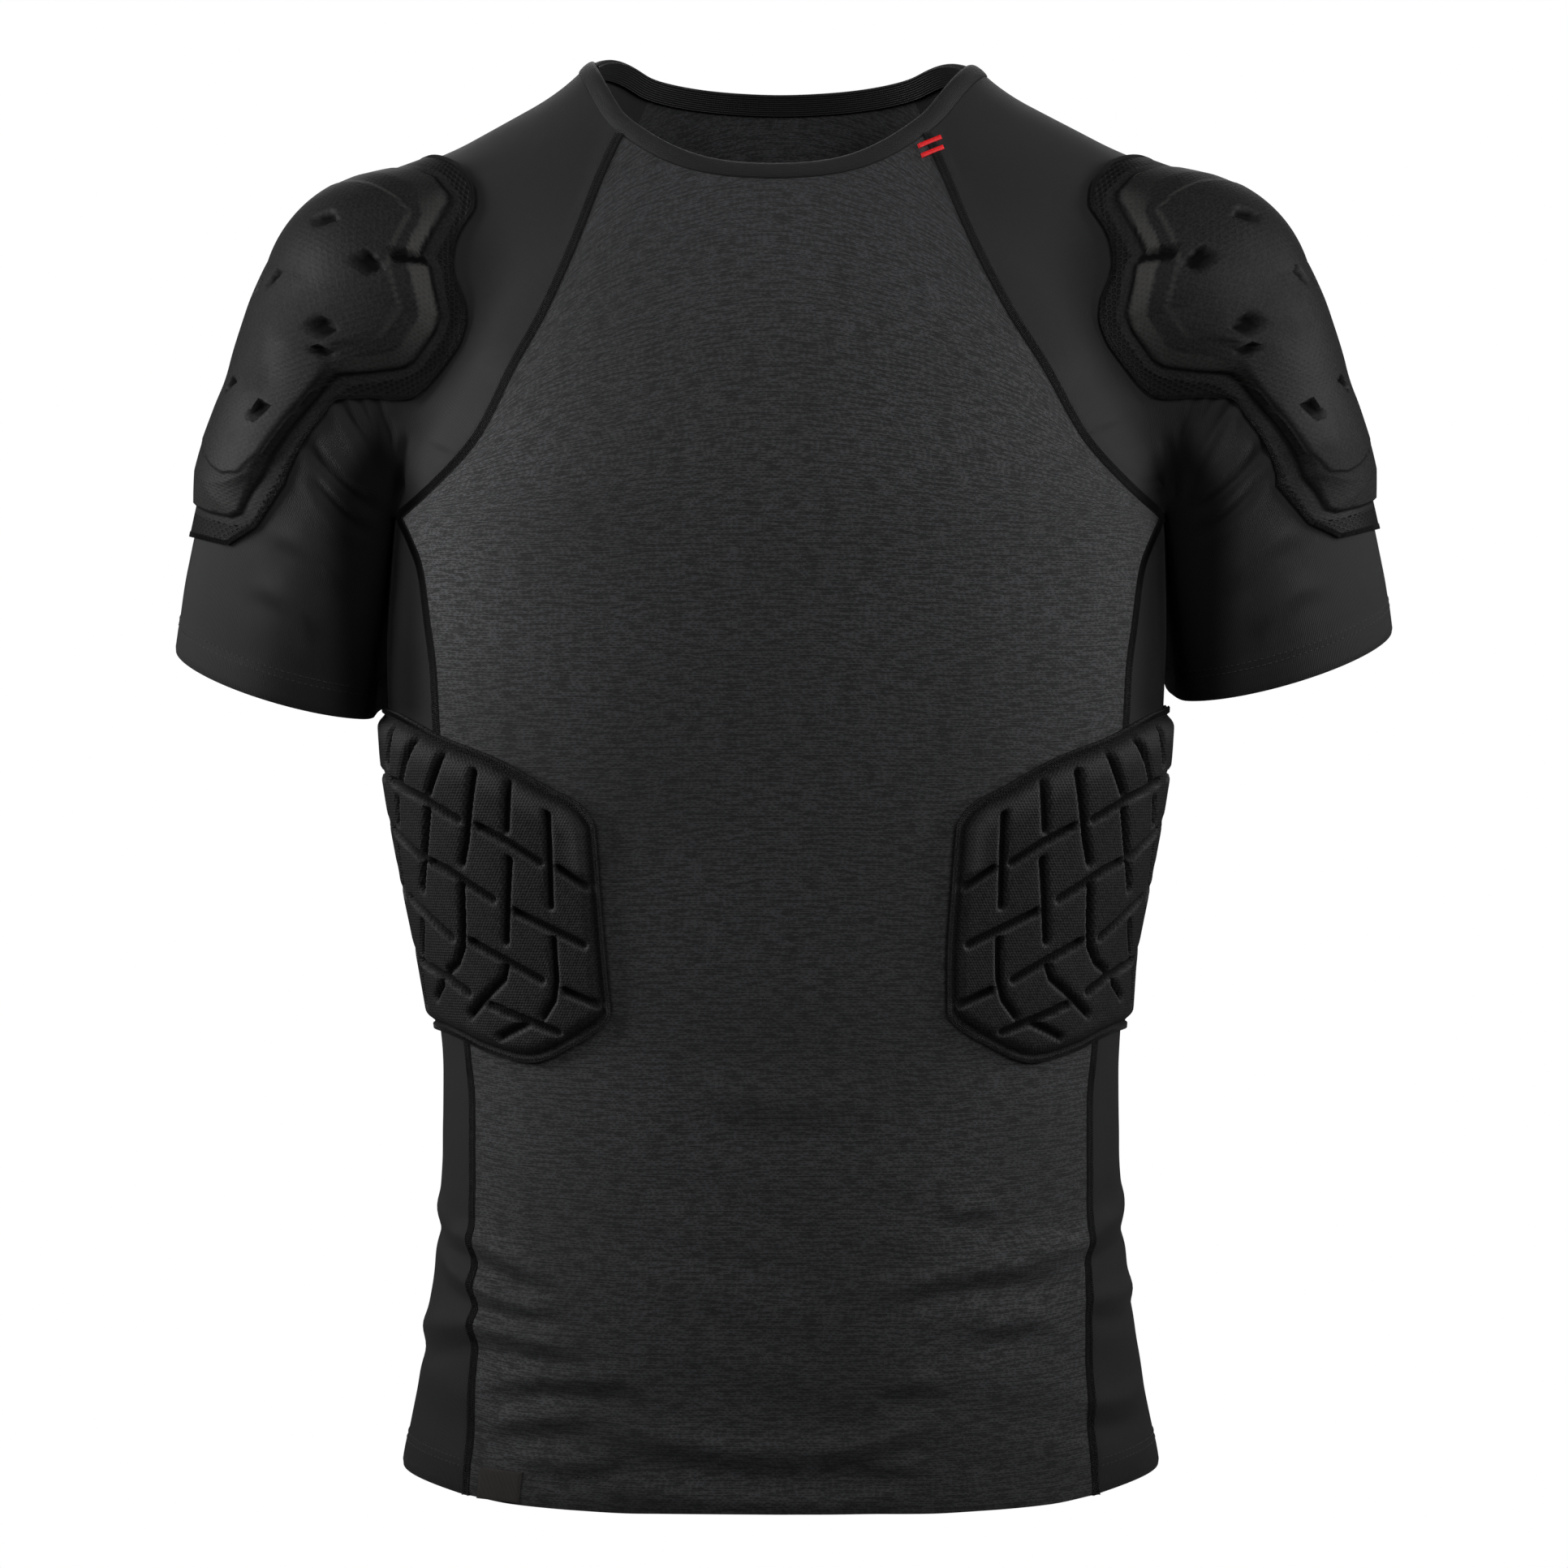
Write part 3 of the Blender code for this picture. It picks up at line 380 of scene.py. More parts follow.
# Numbers of rows and columns of the panels' grids
ROWS_SIDE = 190
ROWS_RAGLAN = 118
ROWS_CUFF = 48
COLUMNS_BODY = 84
COLUMNS_SLEEVE = 120
COLUMNS_UNDERARM = 32
SIDE_SHARES = np.linspace(0, 1, ROWS_SIDE + 1)
RAGLAN_SHARES = np.linspace(0, 1, ROWS_RAGLAN + 1)


def seam_points(seam, shares):
    """Points at given shares of the length of a seam in its x, z plane."""
    dense = np.linspace(0, 1, 400)
    rows = np.linspace(0, 1, len(seam["x"]))
    x = smooth_curve(rows, seam["x"], dense)
    z = smooth_curve(rows, seam["z"], dense)
    length = running(np.hypot(np.diff(x), np.diff(z)))
    at = np.asarray(shares) * length[-1]
    return np.interp(at, length, x), np.interp(at, length, z)


def mirrored(half):
    """Join a half curve, from the middle outwards, with its mirror image."""
    x, z = half
    return np.concatenate([-x[:0:-1], x]), np.concatenate([z[:0:-1], z])


def body_panel(side, raglan, neck, hem, drop):
    """Grid of a front or back: rows from hem to neck, columns from one side to the other."""
    side_x, side_z = side
    up_x, up_z = seam_points(raglan, RAGLAN_SHARES)
    edge_x = np.concatenate([side_x[:-1], up_x])[:, None]
    edge_z = np.concatenate([side_z[:-1], up_z])[:, None]
    share = np.linspace(-1, 1, COLUMNS_BODY + 1)
    middle_out = share[share > -1e-9]
    hem_x = share * edge_x[0]
    hem_z = smooth_curve(hem["x"], hem["z"], np.abs(hem_x)) - hem["z"][-1]
    neck_x, neck_z = mirrored(seam_points(neck, middle_out))
    pull = ((edge_z - edge_z[0]) / (edge_z[-1] - edge_z[0])) ** 2.5
    x = edge_x * share + pull * (neck_x - edge_x[-1] * share)
    z = edge_z + (1 - pull) * hem_z + pull * (neck_z - edge_z[-1])
    return drop(x, z)


def side_panel(side, front, back):
    """Grid of a side panel: rows from hem to armhole, columns from front seam to back seam."""
    across = np.linspace(0, 1, COLUMNS_UNDERARM + 1)
    crown = 4 * across * (1 - across)
    middle = smooth_curve(TORSO_SWAY["z"], TORSO_SWAY["x"], front[:, 2])
    turn_front = np.arctan2(front[:, 1], side * (front[:, 0] - middle))[:, None]
    turn_back = np.arctan2(back[:, 1], side * (back[:, 0] - middle))[:, None]
    turn = turn_front + across * (turn_back - turn_front)
    z = front[:, 2:] + across * (back[:, 2:] - front[:, 2:])
    up = np.linspace(0, 1, len(front))[:, None]
    z = z + crown * (HEM_SIDE_RISE * (1 - up) ** 6 - UNDERARM_DIP * up ** 8)
    starts = np.stack([np.broadcast_to(middle[:, None], z.shape), 0 * z, z], -1)
    directions = np.stack([side * np.cos(turn), np.sin(turn), 0 * turn], -1)
    grid = cast(starts, directions, torso_gap, TORSO_REACH)
    grid[:, 0] = front
    grid[:, -1] = back
    return grid


def between(first, second, share):
    """Directions part of the way from one to another."""
    return unit(first * (1 - share) + second * share)


def mirror_side(side, vectors):
    """Turn directions on the right arm into those on the given side."""
    return vectors * [side, 1, 1]


def on_edge(edge, share):
    """Places at shares of the way up the edge of a sleeve."""
    return np.stack([np.interp(share, RAGLAN_SHARES, values) for values in edge.T], -1)


def sleeve_rays(side, share, front, back):
    """Middle of each sleeve row and the directions of its front edge, top and back edge.

    Shares run from -1 at the cuff to 0 at the armhole and 1 at the neck.
    """
    share = np.asarray(share, float)[:, None]
    keys = SLEEVE_ROWS["share"]
    up = np.clip(share, 0, 1)
    x = smooth_curve(keys, SLEEVE_ROWS["x"], up)
    z = smooth_curve(keys, SLEEVE_ROWS["z"], up)
    y = smooth_curve(keys, SLEEVE_ROWS["y"], up)
    middle = put_on_side(side, np.concatenate([x, y, z], -1))
    lean_up = np.radians(smooth_curve(keys, SLEEVE_LEAN, up))
    top = mirror_side(side, np.concatenate([np.cos(lean_up), 0 * x, np.sin(lean_up)], -1))
    to_front = unit(on_edge(front, up[:, 0]) - middle)
    to_back = unit(on_edge(back, up[:, 0]) - middle)
    down = np.clip(-share, 0, 1)
    cuff = put_on_side(side, ARM_TOP + ARM_AXIS * ARM_REACH * CUFF_REACH[side])
    middle = middle + down * (cuff - middle)
    to_front = between(to_front, mirror_side(side, CUFF_FRONT), down)
    to_back = between(to_back, mirror_side(side, CUFF_BACK), down)
    top = between(top, mirror_side(side, ARM_OUT), down)
    return middle, to_front, top, to_back


def sleeve_points(side, share, around, front, back):
    """Points of a sleeve, from -1 at its front seam, over the top, to 1 at its back seam."""
    share, around = np.broadcast_arrays(share, around)
    shape = share.shape
    share = share.ravel()
    around = around.ravel()[:, None]
    middle, to_front, top, to_back = sleeve_rays(side, share, front, back)
    ahead = between(top, to_front, np.clip(-around, 0, 1))
    behind = between(top, to_back, np.clip(around, 0, 1))
    directions = np.where(around < 0, ahead, behind)
    slant = np.clip(-share, 0, 1)[:, None] ** 3
    directions = slanted(side, directions, slant)
    on_form = np.empty_like(middle)
    closed = share < 0
    on_form[closed] = cast(middle[closed], directions[closed], sleeve_gap, ARM_SPREAD)
    on_form[~closed] = cast(middle[~closed], directions[~closed], figure_gap, ARM_SPREAD)
    return on_form.reshape(*shape, 3)


def slanted(side, directions, share):
    """Tip directions so that a cuff hangs lower in front than behind."""
    axis = mirror_side(side, ARM_AXIS)
    return unit(directions - directions[..., 1:2] * share * axis * CUFF_SLANT / (55 * MM))


def grid_faces(rows, columns, closed):
    """Faces of a grid of points, closed on itself if its columns go all round."""
    faces = []
    for row in range(rows - 1):
        for column in range(columns if closed else columns - 1):
            right = (column + 1) % columns
            low = row * columns
            high = low + columns
            faces.append((low + column, low + right, high + right, high + column))
    return faces


# %% [markdown]
# ## Creases
#
# Compression cloth is tight over the chest and slack round the waist, so soft folds gather above
# the hem and fan out of the armpits. A fold is a ridge with a trough under it that fades at both
# ends. Cloth simulation makes folds too, but not at chosen places, so they are drawn: where each
# starts and ends, how far it bows, how high and wide it is. A negative height is a pressed-in
# trough.

# %% Creases of the body, by turn about the torso in degrees (0 is the front) and height
BODY_CREASES = np.array([
    # turn, z, turn at the end, z at the end, bow, height, width
    (-97, -563, -76, -572, 2, 2.2, 6.5),
    (-78, -574, -52, -594, 4, 2.4, 5.5),
    (-80, -584, -50, -608, -5, 2.0, 5),
    (-104, -625, -66, -617, -2, 2.2, 7),
    (-70, -617, -44, -629, 3, 2.0, 6),
    (-63, -644, -34, -641, 3, 1.5, 5.5),
    (-61, -664, -43, -658, 2, 1.2, 5),
    (-35, -663, 9, -674, -4, 1.7, 6.5),
    (-55, -677, -37, -678, -2, 1.1, 5),
    (-39, -690, 9, -696, -3, 1.2, 6),
    (68, -573, 98, -556, -2, 2.2, 7),
    (72, -577, 53, -578, -2, 1.7, 5),
    (39, -562, 49, -559, 1, 1.1, 4.5),
    (26, -597, 65, -586, 3, 1.9, 6),
    (65, -606, 92, -601, -2, 1.8, 6),
    (43, -618, 58, -612, 2, 1.4, 5.5),
    (63, -656, 84, -650, -2, 1.7, 6.5),
    (25, -643, 37, -640, 1, 1.1, 5),
    (7, -674, 34, -660, -3, 1.6, 6),
    (19, -679, 33, -677, -1, 1.1, 5),
    (6, -698, 28, -691, -2, 1.2, 5),
    (98, -571, 131, -590, 4, 2.0, 6.5),
    (104, -612, 148, -628, 4, 2.2, 7),
    (119, -652, 165, -658, -4, 1.7, 7),
    (142, -577, 172, -566, -4, 1.4, 6),
    (100, -642, 116, -636, 2, 1.3, 6),
    (150, -690, 189, -695, -3, 1.2, 6),
    (-101, -561, -128, -583, 4, 2.0, 6.5),
    (-99, -606, -139, -620, -4, 2.3, 7),
    (-122, -648, -158, -644, 3, 1.6, 6.5),
    (-175, -592, -144, -600, 4, 1.5, 7),
    (-170, -672, -131, -668, -3, 1.5, 6.5),
    (-178, -466, -149, -476, -4, 1.2, 8),
    (150, -482, 176, -472, -4, 1.2, 8),
    (-24, -500, 22, -506, -5, 0.7, 10),
])
# Creases of a sleeve, as sighted from the front on the right, in millimetres. The back of the
# sleeve has similar ones.
SLEEVE_CREASES = np.array([
    # x, z, x at the end, z at the end, bow, height, width
    (223, -166, 197.5, -218, 2, -3.4, 3.0),
    (214.5, -163, 195, -216, 1.5, -3.6, 2.8),
    (206, -162, 193.5, -215, 1, -3.0, 2.6),
    (198, -178, 192, -214, 0.5, -2.6, 2.6),
    (189.5, -188, 191, -220, 0.5, -3.2, 2.8),
    (238, -190, 203, -224, -3, -3.8, 3.6),
    (237, -202, 206, -236, -3, -3.0, 3.4),
    (252, -232, 218, -262, 3, 1.9, 5.5),
    (262, -258, 232, -284, 3, 1.5, 6),
])
TURN_SPAN = 2.9             # millimetres that one degree of turn covers
WAIST = -520                # below this the cloth also ripples a little
SLACK = 1.9                 # creases are this much deeper where they don't show at the sides


# %% How a crease lifts the cloth
def along_crease(row, x, y):
    """How far along a bowed crease points are, as a share, and how far above it."""
    x0, y0, x1, y1, bow = row[:5]
    length = math.hypot(x1 - x0, y1 - y0)
    share = ((x - x0) * (x1 - x0) + (y - y0) * (y1 - y0)) / length ** 2
    above = ((x1 - x0) * (y - y0) - (y1 - y0) * (x - x0)) / length
    if x1 < x0:
        above = -above
    arch = 4 * np.clip(share, 0, 1) * (1 - np.clip(share, 0, 1))
    return share, above - bow * arch


def crease_lift(rows, x, y):
    """Height of all the creases of a table at the given places, in millimetres."""
    lift = np.zeros(np.shape(x))
    for row in rows:
        height, width = row[5:]
        share, above = along_crease(row, x, y)
        fade = soft_step(np.clip(np.minimum(share + 0.12, 1.12 - share) / 0.4, 0, 1))
        if height > 0:
            shape = np.exp(-(above / width) ** 2) - 0.55 * np.exp(-(above / width + 1.6) ** 2)
        else:
            beside = np.exp(-(np.abs(above) / width - 1.7) ** 2)
            shape = np.exp(-(above / width) ** 2) - 0.4 * beside
        lift = lift + height * fade * shape
    return lift


def body_drape(points):
    """How far creases lift the body's cloth, in metres."""
    middle = sway(TORSO_SWAY, points)[..., 0]
    turn = np.degrees(np.arctan2(points[..., 0] - middle, -points[..., 1]))
    z = points[..., 2] / MM
    rows = BODY_CREASES * [TURN_SPAN, 1, TURN_SPAN, 1, 1, 1, 1]
    lift = crease_lift(rows, turn * TURN_SPAN, z)
    for whole in (-360, 360):
        lift = lift + crease_lift(rows, (turn + whole) * TURN_SPAN, z)
    slack = np.clip((WAIST - z) / 60, 0, 1)
    ripple = np.sin(z * 0.21 + turn * 0.09) * np.sin(turn * 0.055 + z * 0.013 + 0.7)
    off_side = np.clip((np.abs(np.abs(turn) - 90) - 14) / 24, 0, 1)
    deeper = 1 + (SLACK - 1) * off_side
    return (deeper * lift + 0.4 * slack * ripple) * MM


def sleeve_drape(points, normals):
    """How far creases lift a sleeve's cloth, in metres."""
    near = own_side(points)
    side = np.where(points[..., 0] < 0, -1.0, 1.0)
    share = -SIGHT[1] / (points[..., 1] - SIGHT[1])
    seen = SIGHT + (points - SIGHT) * share[..., None]
    seen_x = np.abs(seen[..., 0] - SIGHT[0])
    facing = -normals[..., 1]
    ahead = np.clip(facing / 0.35, 0, 1)
    behind = np.clip(-facing / 0.35, 0, 1)
    lift = ahead * crease_lift(SLEEVE_CREASES, seen_x / MM + 2 * (side < 0), seen[..., 2] / MM)
    other = SLEEVE_CREASES * [1, 1.01, 0.99, 1, -0.7, 0.85, 1.15] + [2, 0, 0, 2, 0, 0, 0]
    lift = lift + behind * crease_lift(other, near[..., 0] / MM, near[..., 2] / MM)
    return lift * MM


print("creases on the body:", len(BODY_CREASES), "and on each sleeve:", 2 * len(SLEEVE_CREASES))

# %% [markdown]
# ## From a grid of points to a cloth wall
#
# Each panel is a grid of points on the form. The panel gets its creases, then a second layer
# inside it, then walls along its edges. The Solidify modifier does the same to a mesh. Doing it
# on the points keeps the wall's thickness exact where the cloth is creased. The UV map holds
# real distances along and across the cloth, in metres, so that every weave has its true size
# and follows the panel round the body.

# %% Make a cloth wall
def open_edges(faces):
    """Edges that only one face uses, in that face's direction."""
    edges = {}
    for face in faces:
        for first, second in zip(face, face[1:] + face[:1]):
            key = (min(first, second), max(first, second))
            edges[key] = None if key in edges else (first, second)
    return [edge for edge in edges.values() if edge]


def stand_clear(points, normals, faces, distance):
    """Pull the open edges of a surface in along itself, so pieces don't touch at a seam."""
    edges = np.array(open_edges(faces))
    first, second = edges.T
    along = unit(points[second] - points[first])
    inward = unit(np.cross(unit(normals[first] + normals[second]), along))
    pull = np.zeros_like(points)
    count = np.zeros(len(points))
    for corner in (first, second):
        np.add.at(pull, corner, inward)
        np.add.at(count, corner, 1)
    edge = count > 0
    pull[edge] = distance * unit(pull[edge])
    return points + pull


def grid_places(grid, start_column):
    """Distances across a grid, from one of its columns, and along it, from its first row."""
    across = distances(grid, 1)
    return np.stack([across - across[:, start_column:start_column + 1], distances(grid)], -1)


def make_mesh(name, corners, faces, places, sharp=60):
    """Make a piece from corners, faces and a place on the cloth for each corner."""
    mesh = bpy.data.meshes.new(name)
    mesh.from_pydata(corners.tolist(), [], faces)
    shape = bmesh.new()
    shape.from_mesh(mesh)
    bmesh.ops.recalc_face_normals(shape, faces=shape.faces)
    layer = shape.loops.layers.uv.new("cloth")
    for edge in shape.edges:
        edge.smooth = edge.calc_face_angle(0) < math.radians(sharp)
    for face in shape.faces:
        face.smooth = True
        for loop in face.loops:
            loop[layer].uv = places[loop.vert.index]
    shape.to_mesh(mesh)
    shape.free()
    piece = bpy.data.objects.new(name, mesh)
    bpy.context.scene.collection.objects.link(piece)
    return piece


def cloth_wall(name, points, normals, faces, places, wall=CLOTH):
    """Close a surface into a cloth wall and make it a piece."""
    points = stand_clear(points, normals, faces, SEAM_GAP / 2)
    count = len(points)
    corners = np.concatenate([points, points - normals * wall])
    closed = list(faces)
    closed += [tuple(v + count for v in reversed(face)) for face in faces]
    for first, second in open_edges(faces):
        closed.append((second, first, first + count, second + count))
    return make_mesh(name, corners, closed, np.concatenate([places, places]))


# %% [markdown]
# ## Finishes
#
# The knits are near black, so their look is all in the small things: the dashes of the textured
# knit, the dots of the mesh, the sheen. Each of these effects is a node group with named
# sockets, built once and placed in every material that needs it with its own numbers. The
# patterns read the piece's own `cloth` map, which holds metres, so a 1.1 mm course of knitting is
# written as 0.0011.

# %% Wiring helpers
def feed(tree, socket, value):
    """Link a socket to an output, or set it to a plain value."""
    if isinstance(value, bpy.types.NodeSocket):
        tree.links.new(value, socket)
    else:
        socket.default_value = value


def place(tree, kind, *values, **settings):
    """Add a shader node, with its settings and its first sockets fed in order."""
    node = tree.nodes.new("ShaderNode" + kind)
    for setting, value in settings.items():
        setattr(node, setting, value)
    for socket, value in zip(node.inputs, values):
        if value is not None:
            feed(tree, socket, value)
    return node


def maths(tree, operation, *values):
    """One step of arithmetic."""
    return place(tree, "Math", *values, operation=operation).outputs[0]


def ramp(tree, value, low, high, to_low=0.0, to_high=1.0):
    """Turn a range of values smoothly into another range."""
    node = place(tree, "MapRange", value, low, high, to_low, to_high,
                 interpolation_type="SMOOTHSTEP")
    return node.outputs[0]


def start_group(name, inputs, outputs):
    """An empty node group with named sockets: its tree, its inputs and its output node."""
    tree = bpy.data.node_groups.new(name, "ShaderNodeTree")
    for label, kind, value in inputs:
        socket = tree.interface.new_socket(label, in_out="INPUT", socket_type="NodeSocket" + kind)
        if value is not None:
            socket.default_value = value
    for label, kind in outputs:
        tree.interface.new_socket(label, in_out="OUTPUT", socket_type="NodeSocket" + kind)
    given = tree.nodes.new("NodeGroupInput").outputs
    return tree, given, tree.nodes.new("NodeGroupOutput").inputs


# %% [markdown]
# The textured knit is made of courses. On each course dark dashes of uneven length lie at uneven
# steps, where the yarn is tucked under. A white-noise value picked by the number of the course
# shifts it, and one picked by the number of the dash sets its length, so no two rows match.
# Longer streaks lie over them, where the yarn itself is spun darker.

# %% Dashed knit
tree, given, result = start_group("dashed_knit", [
    ("Place", "Vector", None), ("Course", "Float", 0.0011), ("Dash", "Float", 0.0036),
], [("Dashes", "Float"), ("Height", "Float")])
spot = place(tree, "SeparateXYZ", given["Place"]).outputs
course_at = maths(tree, "DIVIDE", spot["Y"], given["Course"])
course = maths(tree, "FLOOR", course_at)
in_course = maths(tree, "ABSOLUTE", maths(tree, "SUBTRACT", maths(tree, "FRACT", course_at), 0.5))
shift = place(tree, "TexWhiteNoise", None, course, noise_dimensions="1D").outputs["Value"]
bend = place(tree, "TexNoise", given["Place"], None, 90.0, 2.0, noise_dimensions="3D").outputs[0]
dash_at = maths(tree, "ADD", maths(tree, "DIVIDE", spot["X"], given["Dash"]),
                maths(tree, "MULTIPLY_ADD", shift, 7.0, maths(tree, "MULTIPLY", bend, 2.5)))
dash = maths(tree, "FLOOR", dash_at)
pick = place(tree, "CombineXYZ", dash, course).outputs[0]
length = place(tree, "TexWhiteNoise", pick, noise_dimensions="2D").outputs["Value"]
in_dash = maths(tree, "ABSOLUTE", maths(tree, "SUBTRACT", maths(tree, "FRACT", dash_at), 0.5))
reach = maths(tree, "MULTIPLY_ADD", length, 0.36, 0.12)
end = ramp(tree, maths(tree, "SUBTRACT", reach, in_dash), -0.03, 0.06)
edge = ramp(tree, in_course, 0.40, 0.20)
dashes = maths(tree, "MULTIPLY", end, edge)
wale = maths(tree, "SINE", maths(tree, "MULTIPLY", spot["X"], 2 * math.pi / 0.00062))
loops = maths(tree, "MULTIPLY", wale, ramp(tree, in_course, 0.5, 0.1))
spun = place(tree, "CombineXYZ", maths(tree, "MULTIPLY", spot["X"], 110.0),
             maths(tree, "MULTIPLY", spot["Y"], 700.0)).outputs[0]
streak = ramp(tree, place(tree, "TexNoise", spun, None, 1.0, 2.0,
                          noise_dimensions="3D").outputs[0], 0.42, 0.62)
dashes = maths(tree, "MULTIPLY_ADD", streak, 0.68, maths(
    tree, "MULTIPLY", dashes, maths(tree, "MULTIPLY_ADD", streak, -0.3, 0.62)))
feed(tree, result["Dashes"], dashes)
feed(tree, result["Height"], maths(tree, "MULTIPLY_ADD", loops, 0.05,
                                   maths(tree, "SUBTRACT", 1.0, dashes)))
print("dashed knit nodes:", len(tree.nodes))

# %% [markdown]
# The smooth knit has wales so fine that only their glint shows. Mesh and moulded pad skin have
# staggered round dimples. Both come from the same small group, a lattice of dots whose every
# other row is moved by half a step.

# %% Dots and fine wales
tree, given, result = start_group("dot_lattice", [
    ("Place", "Vector", None), ("Step", "Float", 0.0016), ("Size", "Float", 0.3),
    ("Softness", "Float", 0.1),
], [("Dots", "Float")])
spot = place(tree, "SeparateXYZ", given["Place"]).outputs
row_at = maths(tree, "DIVIDE", spot["Y"], maths(tree, "MULTIPLY", given["Step"], 0.866))
row = maths(tree, "FLOOR", row_at)
odd = maths(tree, "MULTIPLY", maths(tree, "MODULO", maths(tree, "ABSOLUTE", row), 2.0), 0.5)
column_at = maths(tree, "ADD", maths(tree, "DIVIDE", spot["X"], given["Step"]), odd)
up = maths(tree, "MULTIPLY", maths(tree, "SUBTRACT", maths(tree, "FRACT", row_at), 0.5), 0.866)
over = maths(tree, "SUBTRACT", maths(tree, "FRACT", column_at), 0.5)
away = maths(tree, "SQRT", maths(tree, "ADD", maths(tree, "MULTIPLY", up, up),
                                 maths(tree, "MULTIPLY", over, over)))
far = maths(tree, "ADD", given["Size"], given["Softness"])
near = maths(tree, "SUBTRACT", given["Size"], given["Softness"])
feed(tree, result["Dots"], ramp(tree, away, far, near))

tree, given, result = start_group("fine_knit", [
    ("Place", "Vector", None), ("Wale", "Float", 0.0007), ("Slub", "Float", 0.35),
], [("Height", "Float"), ("Slubs", "Float")])
spot = place(tree, "SeparateXYZ", given["Place"]).outputs
turned = maths(tree, "MULTIPLY", maths(tree, "DIVIDE", spot["X"], given["Wale"]), 2 * math.pi)
wale = maths(tree, "SINE", turned)
course = maths(tree, "SINE", maths(tree, "MULTIPLY", maths(
    tree, "DIVIDE", spot["Y"], given["Wale"]), 2 * math.pi * 1.3))
streaks = place(tree, "CombineXYZ", maths(tree, "MULTIPLY", spot["X"], 1500.0),
                maths(tree, "MULTIPLY", spot["Y"], 260.0)).outputs[0]
slubs = place(tree, "TexNoise", streaks, None, 1.0, 3.0, noise_dimensions="3D").outputs[0]
feed(tree, result["Height"], maths(tree, "MULTIPLY_ADD", course, 0.3,
                                   maths(tree, "MULTIPLY_ADD", slubs, given["Slub"], wale)))
feed(tree, result["Slubs"], slubs)

# %% [markdown]
# No garment that has seen use is one even black. Stretched cloth shows more of its pale core, dust
# and wear lighten the places that rub, and dye takes unevenly. One group puts out a soft uneven
# value on Object coordinates for all of that. The camera never comes into it, so it bakes. A
# second group is painted shade: a mask round the armpits, where the cloth's colour is darkened to
# near black to stand in for the shade that falls there.

# %% Uneven dye and wear, and painted armpit shade
tree, given, result = start_group("uneven_dye", [
    ("Place", "Vector", None), ("Scale", "Float", 9.0),
], [("Tone", "Float"), ("Speckle", "Float")])
broad = place(tree, "TexNoise", given["Place"], None, given["Scale"], 3.0,
              noise_dimensions="3D").outputs[0]
close = place(tree, "TexNoise", given["Place"], None, 900.0, 2.0, noise_dimensions="3D").outputs[0]
feed(tree, result["Tone"], ramp(tree, broad, 0.33, 0.67))
feed(tree, result["Speckle"], ramp(tree, close, 0.35, 0.65))

# Painted shade: a mask round the armpits that darkens the cloth's colour where shade falls.
tree, given, result = start_group("armpit_painted_shade", [("Place", "Vector", None)],
                                  [("Mask", "Float")])
spot = place(tree, "SeparateXYZ", given["Place"]).outputs
from_middle = maths(tree, "ABSOLUTE", spot["X"])
beside = maths(tree, "ABSOLUTE", maths(tree, "SUBTRACT", from_middle, 0.194))
reach = ramp(tree, spot["Z"], -0.168, -0.228, 0.003, 0.031)
armpit_shade_mask = ramp(tree, maths(tree, "SUBTRACT", beside, reach), 0.001, -0.017)
feed(tree, result["Mask"], maths(tree, "MULTIPLY", armpit_shade_mask, ramp(tree, spot["Z"], -0.345, -0.318)))


def group(tree, name, **values):
    """Place a node group in a material, its sockets fed by name."""
    node = tree.nodes.new("ShaderNodeGroup")
    node.node_tree = bpy.data.node_groups[name]
    for label, value in values.items():
        feed(tree, node.inputs[label], value)
    return node.outputs


def mix(tree, share, first, second):
    """Blend two colours."""
    node = place(tree, "Mix", data_type="RGBA")
    colours = [socket for socket in node.inputs if socket.type == "RGBA"]
    feed(tree, node.inputs[0], share)
    for socket, colour in zip(colours, (first, second)):
        feed(tree, socket, colour if isinstance(colour, bpy.types.NodeSocket) else (*colour, 1))
    return [socket for socket in node.outputs if socket.type == "RGBA"][0]


def begin(name, sheen=0.0, sheen_roughness=0.45, specular=0.5):
    """A new material: its tree, its shader, its place on the cloth and in the object."""
    made = bpy.data.materials.new(name)
    made.use_nodes = True
    tree = made.node_tree
    shader = tree.nodes["Principled BSDF"].inputs
    shader["Sheen Weight"].default_value = sheen
    shader["Sheen Roughness"].default_value = sheen_roughness
    shader["Specular IOR Level"].default_value = specular
    on_cloth = place(tree, "UVMap", uv_map="cloth").outputs[0]
    in_object = tree.nodes.new("ShaderNodeTexCoord").outputs["Object"]
    return made, tree, shader, on_cloth, in_object


def emboss(tree, shader, height, distance, strength=1.0):
    """Give a shader's surface the relief of a height, in metres."""
    node = place(tree, "Bump")
    node.inputs["Strength"].default_value = strength
    node.inputs["Distance"].default_value = distance
    feed(tree, node.inputs["Height"], height)
    feed(tree, shader["Normal"], node.outputs[0])


print("node groups:", [made.name for made in bpy.data.node_groups])

# %% [markdown]
# Now the finishes themselves. Each takes two or three tones of its yarn and mixes them by the
# pattern, then sets its roughness and relief. Sheen is the soft light that fibre tips catch at a
# glancing angle. It is one number per finish, set straight on the shader.

# %% Knits
def textured_knit(name, dark, pale):
    """The dashed knit of front and back."""
    made, tree, shader, on_cloth, in_object = begin(name, sheen=KNIT_SHEEN)
    knit = group(tree, "dashed_knit", Place=on_cloth)
    dye = group(tree, "uneven_dye", Place=in_object)
    yarn = mix(tree, dye["Speckle"], tuple(0.72 * c for c in pale), pale)
    yarn = mix(tree, maths(tree, "MULTIPLY", dye["Tone"], 0.35), yarn, dark)
    feed(tree, shader["Base Color"], mix(tree, maths(tree, "MULTIPLY", knit["Dashes"], 0.95),
                                         yarn, dark))
    feed(tree, shader["Roughness"], ramp(tree, knit["Dashes"], 0.0, 1.0, 0.68, 0.85))
    emboss(tree, shader, knit["Height"], 0.00009)
    return made


